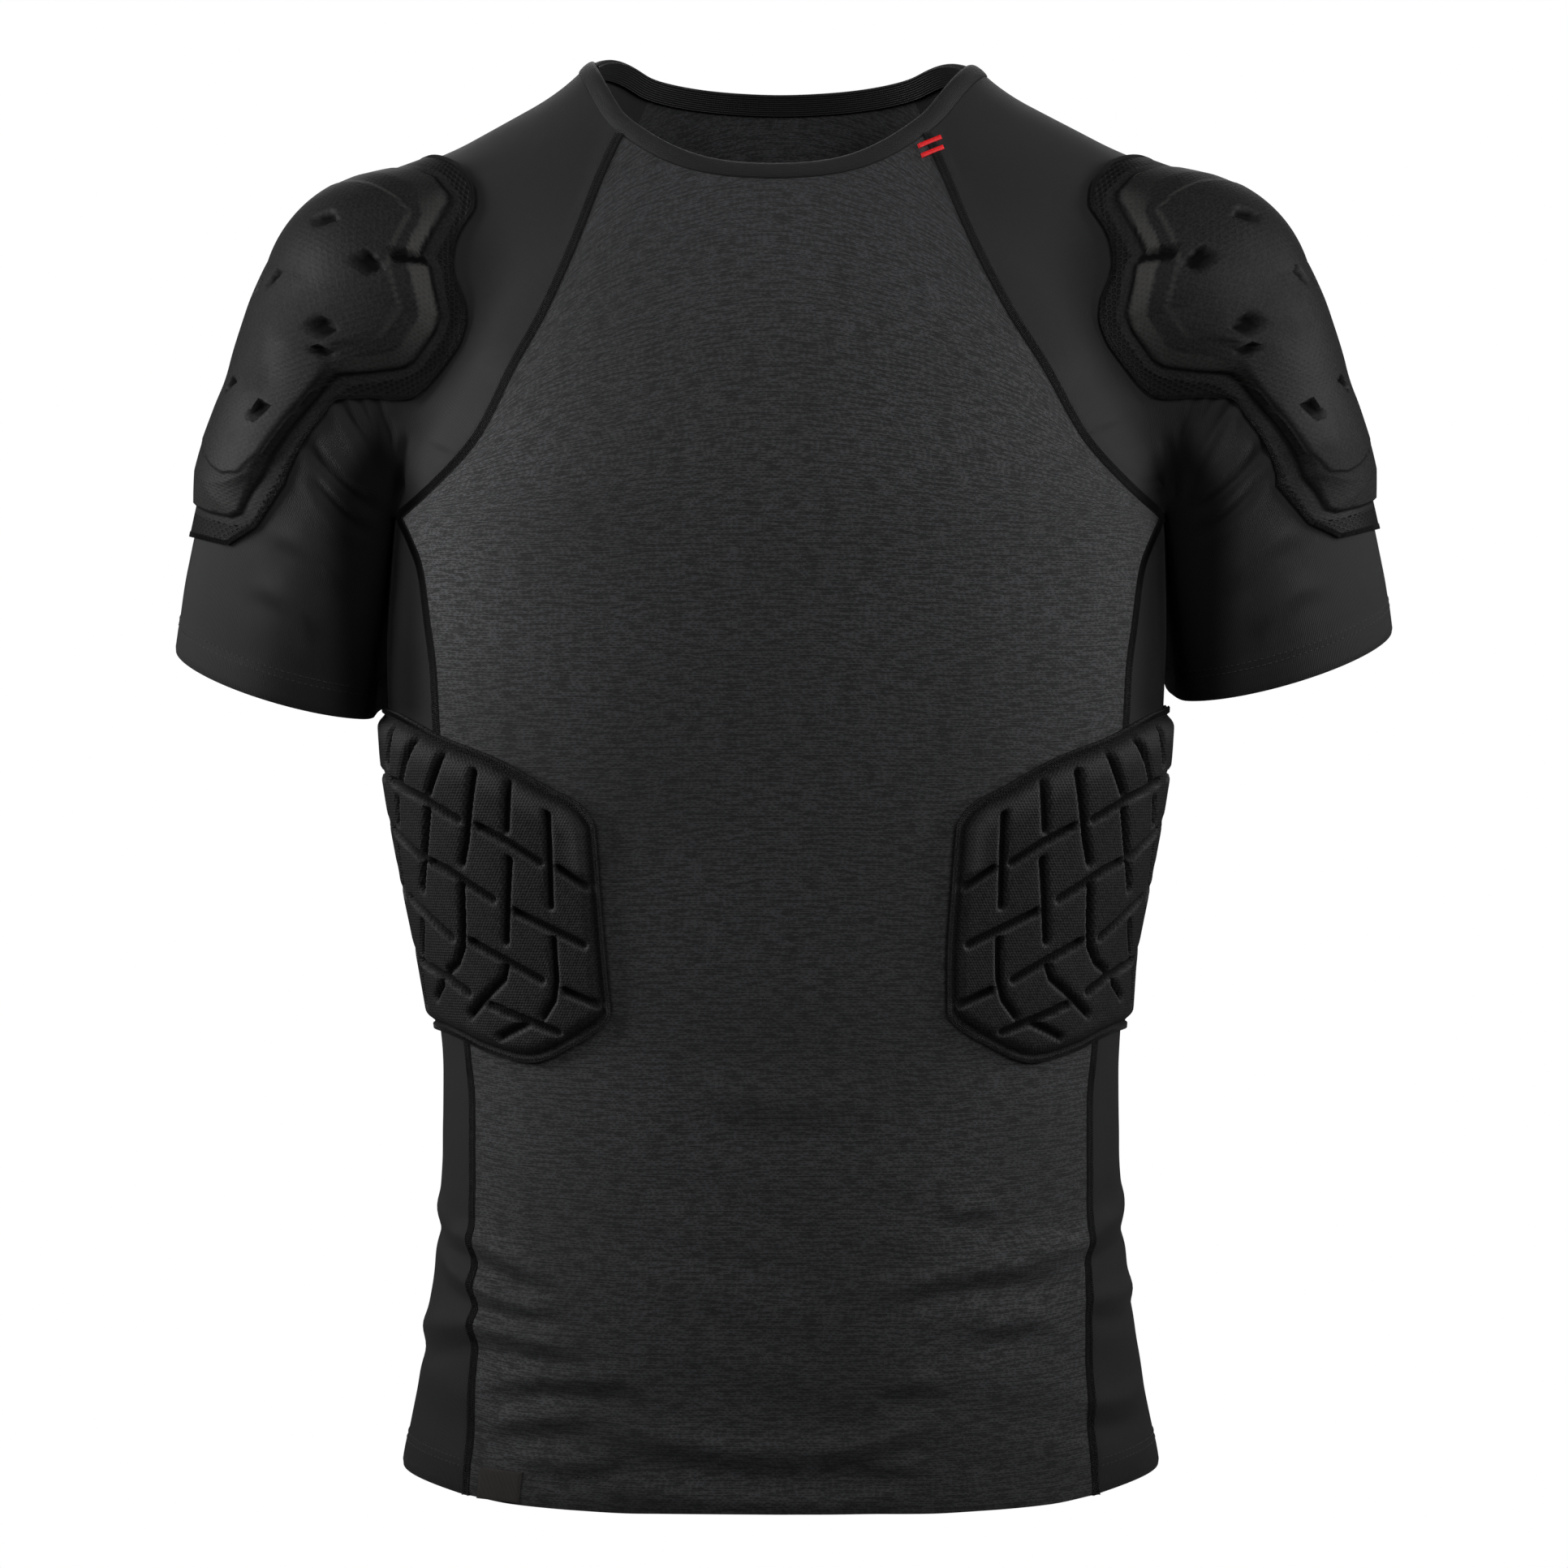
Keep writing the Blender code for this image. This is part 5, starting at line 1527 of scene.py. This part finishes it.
neck_piece("neck_tape_cloth", behind, False, TAPE_SECTION, TAPE, "neck_tape", "neck_tape")

# %% [markdown]
# ## Shoulder pads
#
# Each pad is one moulding: a flat mesh flange sewn to the sleeve, and a raised body with broad
# bevels, small vents and a notch in its front edge. Its rows run across the arm and follow the
# flange and the raised edge, so both stay crisp. Heights come from the distance to the raised
# outline and to the flat top, as a draughtsman would chamfer a block.

# %% Pad tables: rows from the top of the pad down
# Shares of the sleeve, in thousandths: where a row crosses the top of the arm and where it ends,
# and how far round the sleeve its flange and its raised body reach
SHOULDER_PAD = table("ridge end flange raised", [
    (670, 677, 440, 360), (645, 664, 560, 440), (612, 652, 590, 500), (578, 632, 620, 555),
    (542, 572, 640, 575), (505, 515, 690, 610), (465, 480, 790, 680), (430, 445, 835, 740),
    (385, 400, 850, 750), (325, 330, 835, 735), (270, 272, 800, 660), (235, 232, 660, 570),
    (200, 200, 585, 545), (155, 156, 572, 530), (110, 113, 560, 515), (45, 45, 548, 493),
    (-25, -25, 535, 470), (-95, -95, 525, 460), (-160, -160, 515, 450), (-265, -250, 500, 430),
    (-290, -275, 490, 420), (-430, -375, 442, 360),
])
# The raised body's edge and its flat top: share along the sleeve and share round it, front half
SHOULDER_EDGE = np.array([
    (0.578, 0.00), (0.585, 0.155), (0.612, 0.345), (0.624, 0.445), (0.616, 0.535),
    (0.603, 0.556), (0.550, 0.578), (0.495, 0.596), (0.482, 0.612), (0.487, 0.636),
    (0.465, 0.672), (0.432, 0.738), (0.400, 0.750), (0.333, 0.733), (0.315, 0.715),
    (0.250, 0.572), (0.232, 0.560), (0.150, 0.530), (0.045, 0.497), (-0.095, 0.468),
    (-0.205, 0.458), (-0.238, 0.435), (-0.255, 0.355), (-0.262, 0.150), (-0.262, 0.00),
])
SHOULDER_TOP = np.array([
    (0.505, 0.00), (0.512, 0.20), (0.532, 0.360), (0.538, 0.455), (0.533, 0.520),
    (0.500, 0.532), (0.462, 0.546), (0.445, 0.556), (0.430, 0.577), (0.402, 0.627),
    (0.342, 0.621), (0.300, 0.548), (0.256, 0.548), (0.232, 0.541), (0.150, 0.512),
    (0.045, 0.478), (-0.010, 0.440), (-0.040, 0.395), (-0.025, 0.345), (0.000, 0.300),
    (0.022, 0.150), (0.026, 0.00),
])
# Vents: share along, share round, length, width and slant
SHOULDER_VENTS = [
    (0.443, 0.385, 5.5, 3.6, 35), (0.344, 0.335, 5.5, 2.6, 30), (0.322, 0.250, 5.5, 2.6, 25),
    (0.423, 0.528, 5.4, 4.2, 15), (0.310, 0.511, 6.0, 3.8, 20), (0.277, 0.528, 3.4, 3.2, 10),
    (0.149, 0.280, 8.0, 3.2, 35), (0.123, 0.440, 8.5, 2.8, 12),
]
PAD_ROWS = 220                  # rows of a pad's grid
PAD_BODY = 150                  # its columns over the raised body, and over each flange
PAD_RIM = 16


def pad_metres(share, around):
    """Rough flat places of points on the shoulder, in millimetres."""
    along = np.where(share < 0, 105 * share, 210 * share)
    return np.stack(np.broadcast_arrays(along, 95 * around), -1)


def from_outline(places, outline, closed=True):
    """Distance from a line through points, and whether places are inside it."""
    following = np.roll(outline, -1, 0) if closed else outline[1:]
    begin_at = outline if closed else outline[:-1]
    least = np.full(places.shape[:-1], 1e9)
    inside = np.zeros(places.shape[:-1], bool)
    for a, b in zip(begin_at, following):
        span = b - a
        share = np.clip(((places - a) @ span) / max(span @ span, 1e-12), 0, 1)
        least = np.minimum(least, np.linalg.norm(places - a - share[..., None] * span, axis=-1))
        if closed and a[1] != b[1]:
            crosses = (a[1] > places[..., 1]) != (b[1] > places[..., 1])
            at = a[0] + (places[..., 1] - a[1]) / (b[1] - a[1]) * span[0]
            inside ^= crosses & (places[..., 0] < at)
    return least, inside


# %% Relief of a shoulder pad
def both_halves(half):
    """An outline made of a front half and its mirror image behind."""
    mirror = half[::-1] * [1, -1]
    return np.concatenate([half, mirror[1:-1]])


def vent_depth(places):
    """How deep the vents are cut, in millimetres, each with a ramp on one side."""
    depth = np.zeros(places.shape[:-1])
    for share, around, length, width, slant in SHOULDER_VENTS:
        for half in (-1, 1):
            middle = pad_metres(np.array(share), np.array(half * around))
            turn = math.radians(slant) * half
            off = places - middle
            ahead = off[..., 0] * math.cos(turn) + off[..., 1] * math.sin(turn)
            beside = -off[..., 0] * math.sin(turn) + off[..., 1] * math.cos(turn)
            room = np.minimum(length / 2 - np.abs(ahead), width / 2 - np.abs(beside))
            cut = np.clip(room / 0.7 + 0.5, 0, 1)
            ramp_down = np.clip(0.35 + (ahead + length / 2) / length, 0, 1)
            depth = np.maximum(depth, 3.4 * cut * ramp_down)
    return depth


def shoulder_relief(share, around):
    """Height over the flange in millimetres, and the painted highlight, mesh and painted shade."""
    places = pad_metres(share, around)
    to_edge, inside = from_outline(places, both_halves(pad_metres(*SHOULDER_EDGE.T)))
    to_top, on_top = from_outline(places, both_halves(pad_metres(*SHOULDER_TOP.T)))
    bevel = np.where(on_top, 1, to_edge / (to_edge + to_top + 1e-6))
    slope = np.where(bevel < 0.56, 1.55 * bevel, 0.868 + 0.3 * (bevel - 0.56))
    full = 4.3 - 1.7 * np.clip((share - 0.36) / 0.2, 0, 1)
    height = 1.7 * np.clip(to_edge / 0.8, 0, 1) + full * slope
    step = np.clip(0.5 + np.where(on_top, to_top, -to_top) / 0.9, 0, 1)
    height = height + 0.45 * step
    vents = vent_depth(places)
    # Painted shade: vents and the notch are coloured dark, as shade in a recess.
    painted_shade = np.clip((vents - 1.2) / 1.2, 0, 1)
    for half in (-1, 1):
        line = pad_metres(*np.array([(0.458, 0.560 * half), (0.488, 0.612 * half)]).T)
        to_notch, _ = from_outline(places, line, closed=False)
        notch = np.clip((1.9 - to_notch) / 0.8, 0, 1)
        height = height - 3.8 * notch
        painted_shade = np.maximum(painted_shade, np.clip((1.5 - to_notch) / 0.6, 0, 1))
    height = np.where(inside, np.maximum(height - vents, 0.2), 0)
    # Painted shade at the foot of the raised wall and along the lower edge of the flat top.
    foot_shade = np.where(inside, np.clip(1 - to_edge / 0.5, 0, 1), np.clip(1.3 - to_edge / 0.9, 0, 1))
    lower = np.clip((0.36 - share) / 0.06, 0, 1)
    line = np.clip(1.2 - to_top / 0.6, 0, 1) * inside
    painted_shade = np.maximum(np.maximum(painted_shade, 0.9 * foot_shade), 0.8 * line * lower)
    # Painted highlight on the bevel facets, strongest on the upper ones facing inward, and along
    # the upper edge of the flat top.
    facet = np.clip((0.56 - bevel) / 0.05, 0, 1) * np.clip((bevel - 0.03) / 0.04, 0, 1)
    upper = np.clip((share - 0.34) / 0.10, 0, 1)
    inward = np.clip((np.abs(around) - 0.50) / 0.08, 0, 1)
    painted_highlight = facet * inside * (0.10 + 0.75 * upper * inward + 0.22 * (1 - upper) * inward)
    painted_highlight = np.maximum(painted_highlight, 0.5 * line * (1 - lower) * np.clip(np.abs(around) / 0.3, 0, 1))
    mesh = np.where(inside, 0, np.clip((to_edge - 3.4) / 0.8, 0, 1))
    return height, painted_highlight, mesh, painted_shade


# %% Make a shoulder pad
def paint_zone(piece, painted_highlight, mesh, painted_shade):
    """Keep three values for each corner: its share of mesh, painted highlight and painted shade.
    """
    zone = piece.data.color_attributes.new("zone", "FLOAT_COLOR", "POINT")
    colours = np.zeros((len(piece.data.vertices), 4))
    colours[:, 3] = 1
    colours[:len(mesh), 0] = mesh
    colours[:len(painted_highlight), 1] = painted_highlight
    colours[:len(painted_shade), 2] = painted_shade
    zone.data.foreach_set("color", colours.ravel())


def finish_pad(piece, skin, node):
    finish_piece(piece, skin, "moulded_pad", node)
    print(piece.name, "triangles", sum(len(f.vertices) - 2 for f in piece.data.polygons))


def rim_faces(shape, keep_rows, keep_columns):
    """Faces that join the edge of the outer grid to the coarser grid inside it."""
    rows, columns = shape
    first = rows * columns
    wide = len(keep_columns)
    faces = []
    for k, (a, b) in enumerate(zip(keep_rows, keep_rows[1:])):
        for outer, inner in ((0, 0), (columns - 1, wide - 1)):
            rim = [i * columns + outer for i in range(a, b + 1)]
            faces.append(tuple(rim + [first + (k + 1) * wide + inner, first + k * wide + inner]))
    for k, (a, b) in enumerate(zip(keep_columns, keep_columns[1:])):
        for outer, inner in ((0, 0), (rows - 1, len(keep_rows) - 1)):
            rim = [outer * columns + j for j in range(a, b + 1)]
            faces.append(tuple(rim + [first + inner * wide + k + 1, first + inner * wide + k]))
    return faces


def padded_block(name, outer, inner, stride, places):
    """Close a fine outer surface with a coarse inner one, and make it a piece."""
    rows, columns = outer.shape[:2]
    keep_rows = list(range(0, rows - 1, stride)) + [rows - 1]
    keep_columns = list(range(0, columns - 1, stride)) + [columns - 1]
    coarse = inner[np.ix_(keep_rows, keep_columns)]
    corners = np.concatenate([outer.reshape(-1, 3), coarse.reshape(-1, 3)])
    faces = grid_faces(rows, columns, False)
    first = rows * columns
    for face in grid_faces(*coarse.shape[:2], False):
        faces.append(tuple(first + v for v in reversed(face)))
    faces += rim_faces((rows, columns), keep_rows, keep_columns)
    below = places[np.ix_(keep_rows, keep_columns)]
    both = np.concatenate([places.reshape(-1, 2), below.reshape(-1, 2)])
    return make_mesh(name, corners, faces, both, 40)


PAD_UNDER = 0.6                 # heights of underside and flange over the sleeve, in millimetres
PAD_FLANGE = 2.3


def shoulder_piece(side, letter, front_edge, back_edge):
    """One shoulder pad on its sleeve, and its flange edge."""
    order = np.linspace(0, 1, len(SHOULDER_PAD["end"]))
    fine = np.linspace(0, 1, PAD_ROWS + 1)
    row = {key: smooth_curve(order, values, fine) for key, values in SHOULDER_PAD.items()}
    body = np.linspace(-1, 1, PAD_BODY + 1)
    rim = np.linspace(0, 1, PAD_RIM + 1)[1:]
    across = np.concatenate([-1 - rim[::-1], body, 1 + rim])
    beyond = np.maximum(np.abs(across) - 1, 0) * np.sign(across)
    around = np.clip(across, -1, 1) * row["raised"][:, None]
    around = around + beyond * (row["flange"] - row["raised"])[:, None]
    reach = np.abs(around) / row["flange"][:, None]
    share = row["ridge"][:, None] + (row["end"] - row["ridge"])[:, None] * reach ** 2
    grid = sleeve_points(side, share, around, front_edge, back_edge)
    closed_part = share[..., None] < 0
    normals = np.where(closed_part, outward(grid, sleeve_gap), outward(grid, figure_gap))
    relief, painted_highlight, mesh, painted_shade = shoulder_relief(share, around)
    from_end = np.minimum(np.arange(PAD_ROWS + 1), PAD_ROWS - np.arange(PAD_ROWS + 1))[:, None]
    thin = 1 - np.clip(np.minimum((2 - np.abs(across)) / 0.2, from_end / 2), 0, 1)
    outer = grid + normals * ((PAD_FLANGE - 0.5 * thin + relief) * MM)[..., None]
    under = grid + normals * PAD_UNDER * MM
    places = pad_metres(share, around)[..., ::-1] * MM
    piece = padded_block("shoulder_pad_cloth_" + letter, outer, under, 5, places)
    paint_zone(piece, painted_highlight.ravel(), mesh.ravel(), painted_shade.ravel())
    finish_pad(piece, SHOULDER_SKIN, "shoulder_pad_" + letter)
    inset = grid[1:-1, 2:-2]
    lines = [inset[:, 0], inset[-1, 1:], inset[::-1, -1][1:], inset[0, ::-1][1:]]
    return np.concatenate(lines)


for side, letter in SIDES:
    flange_edge = shoulder_piece(side, letter, *pad_edges[side])
    parts = zigzags(flange_edge, figure_gap, no_drape, half=1.2 * MM, step=0.8 * MM,
                    rise=(PAD_FLANGE + 0.05) * MM)
    thread_piece("shoulder_pad_thread_" + letter, parts, THREAD, "moulded_pad")

# %% [markdown]
# ## Rib pads
#
# A rib pad wraps round the side. Its foam is pressed into blocks by grooves that run over and
# under each other like basketwork, and its edge is bound with a narrow bead. A groove is drawn
# as a line with round ends. Where two grooves cross, one goes through and the other stops short,
# and they take turns.

# %% Rib pad tables: turn from the side to the front, and height
RIB_TURN = np.array([0, 12.8, 18.8, 24.5, 33.8, 43.9, 47.5, 49.4, 51.0])
RIB_EDGES = table("top bottom", [
    (-319, -477), (-323, -478), (-328, -481), (-335, -486), (-345, -491), (-361, -480.5),
    (-366, -475), (-372, -471), (-381, -464),
])
RIB_REACH = 50.6                # turn of the pad's front edge
RIB_PITCH = 2.9                 # millimetres for one degree of turn
RIB_LIFT = 0.7                  # millimetres between the body's form and the pad
RIB_BEAD = 1.6                  # half the width of the bound edge
RIB_BODY = 5.2                  # thickness of the foam
RIB_VALLEY = 1.2                # and of the valley inside the bound edge
RIB_GROOVE = 3.1                # depth of a groove
GROOVE_HALF = 1.9               # half its width
# Grooves, as lines through places: turn from the side to the front, and height
RIB_GROOVES = [
    [(20.3, -335), (17.2, -346), (15.3, -356)],
    [(25.8, -341), (23.9, -351), (21.8, -361.5)],
    [(30.8, -352), (29.7, -363), (27.8, -384), (26.4, -395)],
    [(36.4, -357), (35.7, -369), (35.1, -379)],
    [(42.5, -372), (41.9, -396), (41.4, -415)],
    [(12.2, -355.5), (15.2, -358), (20.6, -364), (26.9, -374)],
    [(30.5, -377.5), (35.3, -385), (40.4, -394.5)],
    [(43.6, -397.5), (48.3, -406)],
    [(21.2, -370), (19.3, -386), (16.5, -407.5)],
    [(8.6, -379), (14, -385.5), (17.5, -392)],
    [(20.0, -394.5), (23.5, -398.5), (31.2, -412)],
    [(35.1, -418), (39.9, -424.5), (46.9, -433.5)],
    [(25.7, -406), (24.9, -421), (23.9, -435), (21.9, -443.5), (19.6, -447)],
    [(35.0, -393.5), (33.8, -412), (32.6, -432)],
    [(41.3, -431.5), (40.9, -451), (40.0, -460), (37.7, -468)],
    [(11.2, -412), (16, -419), (21.8, -430.5)],
    [(26.0, -432.5), (31.6, -440.5), (38.3, -450.5)],
    [(42.4, -455.5), (48.4, -462)],
    [(31.9, -444.5), (31.1, -450.5), (28.1, -457), (23.4, -468)],
    [(14.3, -424), (11.6, -439.5)],
    [(9.6, -443), (15, -446.5), (19.0, -450), (23.6, -457)],
    [(27.7, -462.5), (31.2, -466.5), (40.3, -475.5)],
    [(17.3, -453), (14.2, -460.5)],
    [(34.9, -471), (31.7, -475), (29.0, -478.5)],
    [(13.6, -331), (11.2, -347)],
    [(13.4, -364), (11.8, -376)],
    [(9.4, -388), (8.0, -407)],
    [(9.0, -449), (7.6, -464)],
    [(0, -350), (8.2, -353)],
    [(0, -372), (5.4, -376)],
    [(0, -396), (4, -399.5)],
    [(0, -404), (7.6, -411)],
    [(0, -433), (6.2, -440)],
    [(5.2, -330), (3.9, -345)],
    [(3.4, -360), (2.4, -390)],
    [(3.2, -413), (2.6, -430)],
    [(2.4, -446), (1.4, -466)],
]


def rib_height(turn, share):
    """Height on the body of a place on the rib pad, in millimetres."""
    top = smooth_curve(RIB_TURN, RIB_EDGES["top"], np.abs(turn)) / MM
    bottom = smooth_curve(RIB_TURN, RIB_EDGES["bottom"], np.abs(turn)) / MM
    return top + (bottom - top) * share


# %% How far places are from a groove
def groove_field(places, shift=(0, 0)):
    """Distance from the nearest groove in millimetres, at places or a little beside them."""
    places = places + np.array(shift)
    least = np.full(places.shape[:-1], 1e9)
    for groove in RIB_GROOVES:
        line = np.array(groove) * [RIB_PITCH, 1]
        distance, _ = from_outline(places, line, closed=False)
        least = np.minimum(least, distance)
    return least


# %% Make a rib pad
RIB_ROWS = 118
RIB_COLUMNS = 268


def rib_piece(side, letter):
    """One rib pad round the side of the body, and its edge line."""
    turn = np.linspace(-RIB_REACH, RIB_REACH, RIB_COLUMNS + 1)
    share = np.linspace(0, 1, RIB_ROWS + 1)[:, None]
    turn, share = np.broadcast_arrays(turn, share)
    z = rib_height(turn, share)
    angle = np.radians(turn)
    starts = np.stack([0 * z, 0 * z, z * MM], -1)
    starts = starts + sway(TORSO_SWAY, starts)
    directions = np.stack([side * np.cos(angle), -np.sin(angle), 0 * angle], -1)
    grid = cast(starts, directions, torso_gap, TORSO_REACH)
    normals = outward(grid, torso_gap)
    flat = np.stack([turn * RIB_PITCH, z], -1)
    rim = np.concatenate([flat[0, :-1], flat[:-1, -1], flat[-1, :0:-1], flat[:0:-1, 0]])
    to_rim, _ = from_outline(flat, rim)
    folded = np.stack([np.abs(turn) * RIB_PITCH, z], -1)
    to_groove = groove_field(folded)
    bead = 2.1 * np.sqrt(np.clip(1 - ((to_rim - RIB_BEAD) / (RIB_BEAD + 0.15)) ** 2, 0.05, 1))
    rise = np.clip((to_rim - 4.4) / 6.0, 0, 1)
    rise = 1 - (1 - rise) ** 2.2
    body = RIB_VALLEY + (RIB_BODY - RIB_VALLEY) * rise
    cut = np.exp(-(to_groove / GROOVE_HALF) ** 4)
    pillow = 0.95 * np.exp(-to_groove / 3.2)
    body = body - rise * (RIB_GROOVE * cut + pillow)
    nearer = to_groove - groove_field(folded, (-0.9, 0.9))
    height = np.where(to_rim < 2 * RIB_BEAD, bead, body)
    outer = grid + normals * ((RIB_LIFT + height) * MM)[..., None]
    under = grid + normals * (RIB_LIFT - 0.3) * MM
    piece = padded_block("rib_pad_cloth_" + letter, outer, under, 4, flat * MM)
    # Painted highlight on one lip of each groove, where light catches it, and on the upper blocks.
    lit_lip = np.exp(-((to_groove - 2.5) / 0.55) ** 2) * rise * np.clip(nearer / 0.9, 0.1, 1)
    upper = (share < 0.3) * np.clip(to_groove / 2 - 1.3, 0, 1)
    lit_block_top = np.exp(-((to_rim - 11) / 4.5) ** 2) * upper
    # Painted shade in the grooves and in the valley inside the bound edge.
    valley = np.exp(-((to_rim - 4.2) / 1.1) ** 2)
    painted_shade = np.clip(np.maximum(0.95 * np.exp(-(to_groove / 1.7) ** 4) * rise, 0.7 * valley), 0, 1)
    painted_highlight = np.clip(0.8 * lit_lip + 0.26 * lit_block_top, 0, 1)
    paint_zone(piece, painted_highlight.ravel(), 0 * height.ravel(), painted_shade.ravel())
    finish_pad(piece, RIB_SKIN, "rib_pad_" + letter)
    bound = grid[1:-1, 1:-1]
    return np.concatenate([bound[0], bound[1:, -1], bound[-1, -2::-1], bound[-2:0:-1, 0]])


for side, letter in SIDES:
    rim_line = rib_piece(side, letter)
    parts = zigzags(rim_line, torso_gap, no_drape, half=1.0 * MM, step=0.9 * MM,
                    rise=(RIB_LIFT + 2.2) * MM)
    thread_piece("rib_pad_thread_" + letter, parts, PALE_THREAD, "moulded_pad")

# %% [markdown]
# ## Small trims
#
# A woven label is sewn flat just above the hem, and two red bar tacks strengthen the top of one
# raglan seam. A bar tack is a tight satin stitch: a low bar of threads side by side.

# %% Hem label
LABEL_MIDDLE = (-138.5, -703.5)
LABEL_SIZE = (21.0, 15.5)
LABEL_TILT = -7.0


def trim_grid(middle, size, tilt, columns, rows):
    """A small grid on the front, by its sighted middle, size and tilt."""
    across, up = np.meshgrid(np.linspace(-0.5, 0.5, columns + 1) * size[0],
                             np.linspace(-0.5, 0.5, rows + 1) * size[1])
    turned = math.radians(tilt)
    x = (middle[0] + across * math.cos(turned) - up * math.sin(turned)) * MM
    z = (middle[1] + across * math.sin(turned) + up * math.cos(turned)) * MM
    return sight_front(x, z, body_gap), np.stack([across, up], -1) * MM


grid, places = trim_grid(LABEL_MIDDLE, LABEL_SIZE, LABEL_TILT, 40, 30)
normals = body_outward(grid)
spot = np.abs(places) / np.array(LABEL_SIZE) / MM
fold = np.exp(-((0.5 - spot.max(-1)) * 15.5 / 0.7) ** 2)
outer = grid + normals * (body_drape(grid) + (1.15 - 0.45 * fold) * MM)[..., None]
inner = grid + normals * (body_drape(grid) + 0.62 * MM)[..., None]
label = padded_block("hem_label_cloth", outer, inner, 2, places)
finish_piece(label, LABEL, "woven_label", "hem_label")
print("label triangles", len(label.data.polygons))

# %% Bar tacks
# Middle, length and tilt of each
BAR_TACKS = [((77.2, -41.6), 12.5, 22), ((78.6, -46.4), 12.0, 22)]
for number, (middle, length, tilt) in enumerate(BAR_TACKS, 1):
    grid, places = trim_grid(middle, (length, 2.1), tilt, 44, 6)
    normals = outward(grid, figure_gap)
    round_top = np.sqrt(np.clip(1 - (places[..., 1] / (1.2 * MM)) ** 2, 0, 1))
    wound = 0.12 * np.abs(np.sin(places[..., 0] / MM * math.pi / 0.85))
    ends = np.clip((length / 2 - np.abs(places[..., 0]) / MM) / 0.8, 0, 1)
    outer = grid + normals * ((0.35 + (0.85 * round_top + wound) * ends) * MM)[..., None]
    inner = grid + normals * 0.2 * MM
    tack = padded_block("bar_tack_" + str(number), outer, inner, 2, places)
    finish_piece(tack, RED_THREAD, "woven_label")
print("bar tacks:", len(BAR_TACKS))

# %% [markdown]
# ## Light, floor and camera
#
# Black cloth shows its form only by soft highlights. Two square lamps cross on the chest from the
# left and right, so each fold has a lit flank and a dark one, and two more at the sides draw the
# edges. A grid on a lamp narrows its spread, which lets the light fall off towards the hem as in
# the photograph. The world is white to the camera, like a studio sweep, but nearly dark to the
# cloth, so that folds keep their shadows. The camera is level and far enough off for the mild
# perspective of a product photograph.

# %% World and floor
FLOOR = -1.25                   # metres, well under the hanging shirt
CLOTH_LIGHT = 0.02              # strength of the world's light on everything but the camera
world = bpy.data.worlds.new("studio")
bpy.context.scene.world = world
world.use_nodes = True
tree = world.node_tree
background = tree.nodes["Background"]
rays = tree.nodes.new("ShaderNodeLightPath").outputs["Is Camera Ray"]
strength = place(tree, "MapRange", rays, 0.0, 1.0, CLOTH_LIGHT, 1.0).outputs[0]
background.inputs["Color"].default_value = (1, 1, 1, 1)
feed(tree, background.inputs["Strength"], strength)
bpy.ops.mesh.primitive_circle_add(vertices=128, radius=3.0, fill_type="NGON",
                                  location=(0, 0, FLOOR))
floor = bpy.context.object
floor.name = "floor"
bpy.ops.object.transform_apply(location=True, rotation=True, scale=True)
bpy.ops.object.mode_set(mode="EDIT")
bpy.ops.mesh.select_all(action="SELECT")
bpy.ops.mesh.inset(thickness=0.4, depth=0)
bpy.ops.object.mode_set(mode="OBJECT")
pale = bpy.data.materials.new("pale_floor")
pale.use_nodes = True
shader = pale.node_tree.nodes["Principled BSDF"].inputs
shader["Base Color"].default_value = (0.8, 0.8, 0.8, 1)
shader["Roughness"].default_value = 0.9
floor.data.materials.append(pale)


# %% Lamps
def lamp(name, power, size, where, at, spread=180):
    """A large lamp that looks at a point, with a grid on it that narrows its spread."""
    light = bpy.data.lights.new(name, "AREA")
    light.energy = power
    light.shape = "RECTANGLE"
    light.size, light.size_y = size
    light.spread = math.radians(spread)
    holder = bpy.data.objects.new(name, light)
    bpy.context.scene.collection.objects.link(holder)
    holder.location = where
    direction = Vector(at) - Vector(where)
    holder.rotation_euler = direction.to_track_quat("-Z", "Y").to_euler()
    return holder


CHEST = (0, 0, -0.14)
lamp("front_left", 1.1, (0.8, 0.8), (-1.3, -1.9, 0.55), CHEST, 50)
lamp("front_right", 1.8, (0.8, 0.8), (1.3, -1.9, 0.55), CHEST, 50)
lamp("left_edge", 3.0, (0.5, 0.9), (-1.7, -0.1, 0.3), CHEST, 60)
lamp("right_edge", 2.1, (0.5, 0.9), (1.7, -0.1, 0.3), CHEST, 60)
lamp("top", 1.6, (1.5, 0.9), (-0.1, -1.2, 1.4), (0, 0, -0.15))
lamp("back_light", 14, (1.8, 1.2), (0.0, 1.9, 0.9), (0, 0, -0.35))

# %% Camera
VIEW_WIDTH = 0.7728             # metres across the picture at the shirt
SENSOR = 36                     # millimetres
camera_data = bpy.data.cameras.new("camera")
camera_data.sensor_width = SENSOR
camera_data.lens = SENSOR * abs(SIGHT[1]) / VIEW_WIDTH
camera = bpy.data.objects.new("camera", camera_data)
bpy.context.scene.collection.objects.link(camera)
camera.location = SIGHT
camera.rotation_euler = (math.pi / 2, 0, 0)
bpy.context.scene.camera = camera
bpy.context.scene.view_settings.view_transform = "Standard"
bpy.context.scene.view_settings.look = "None"
print("lens:", round(camera_data.lens, 1), "mm")
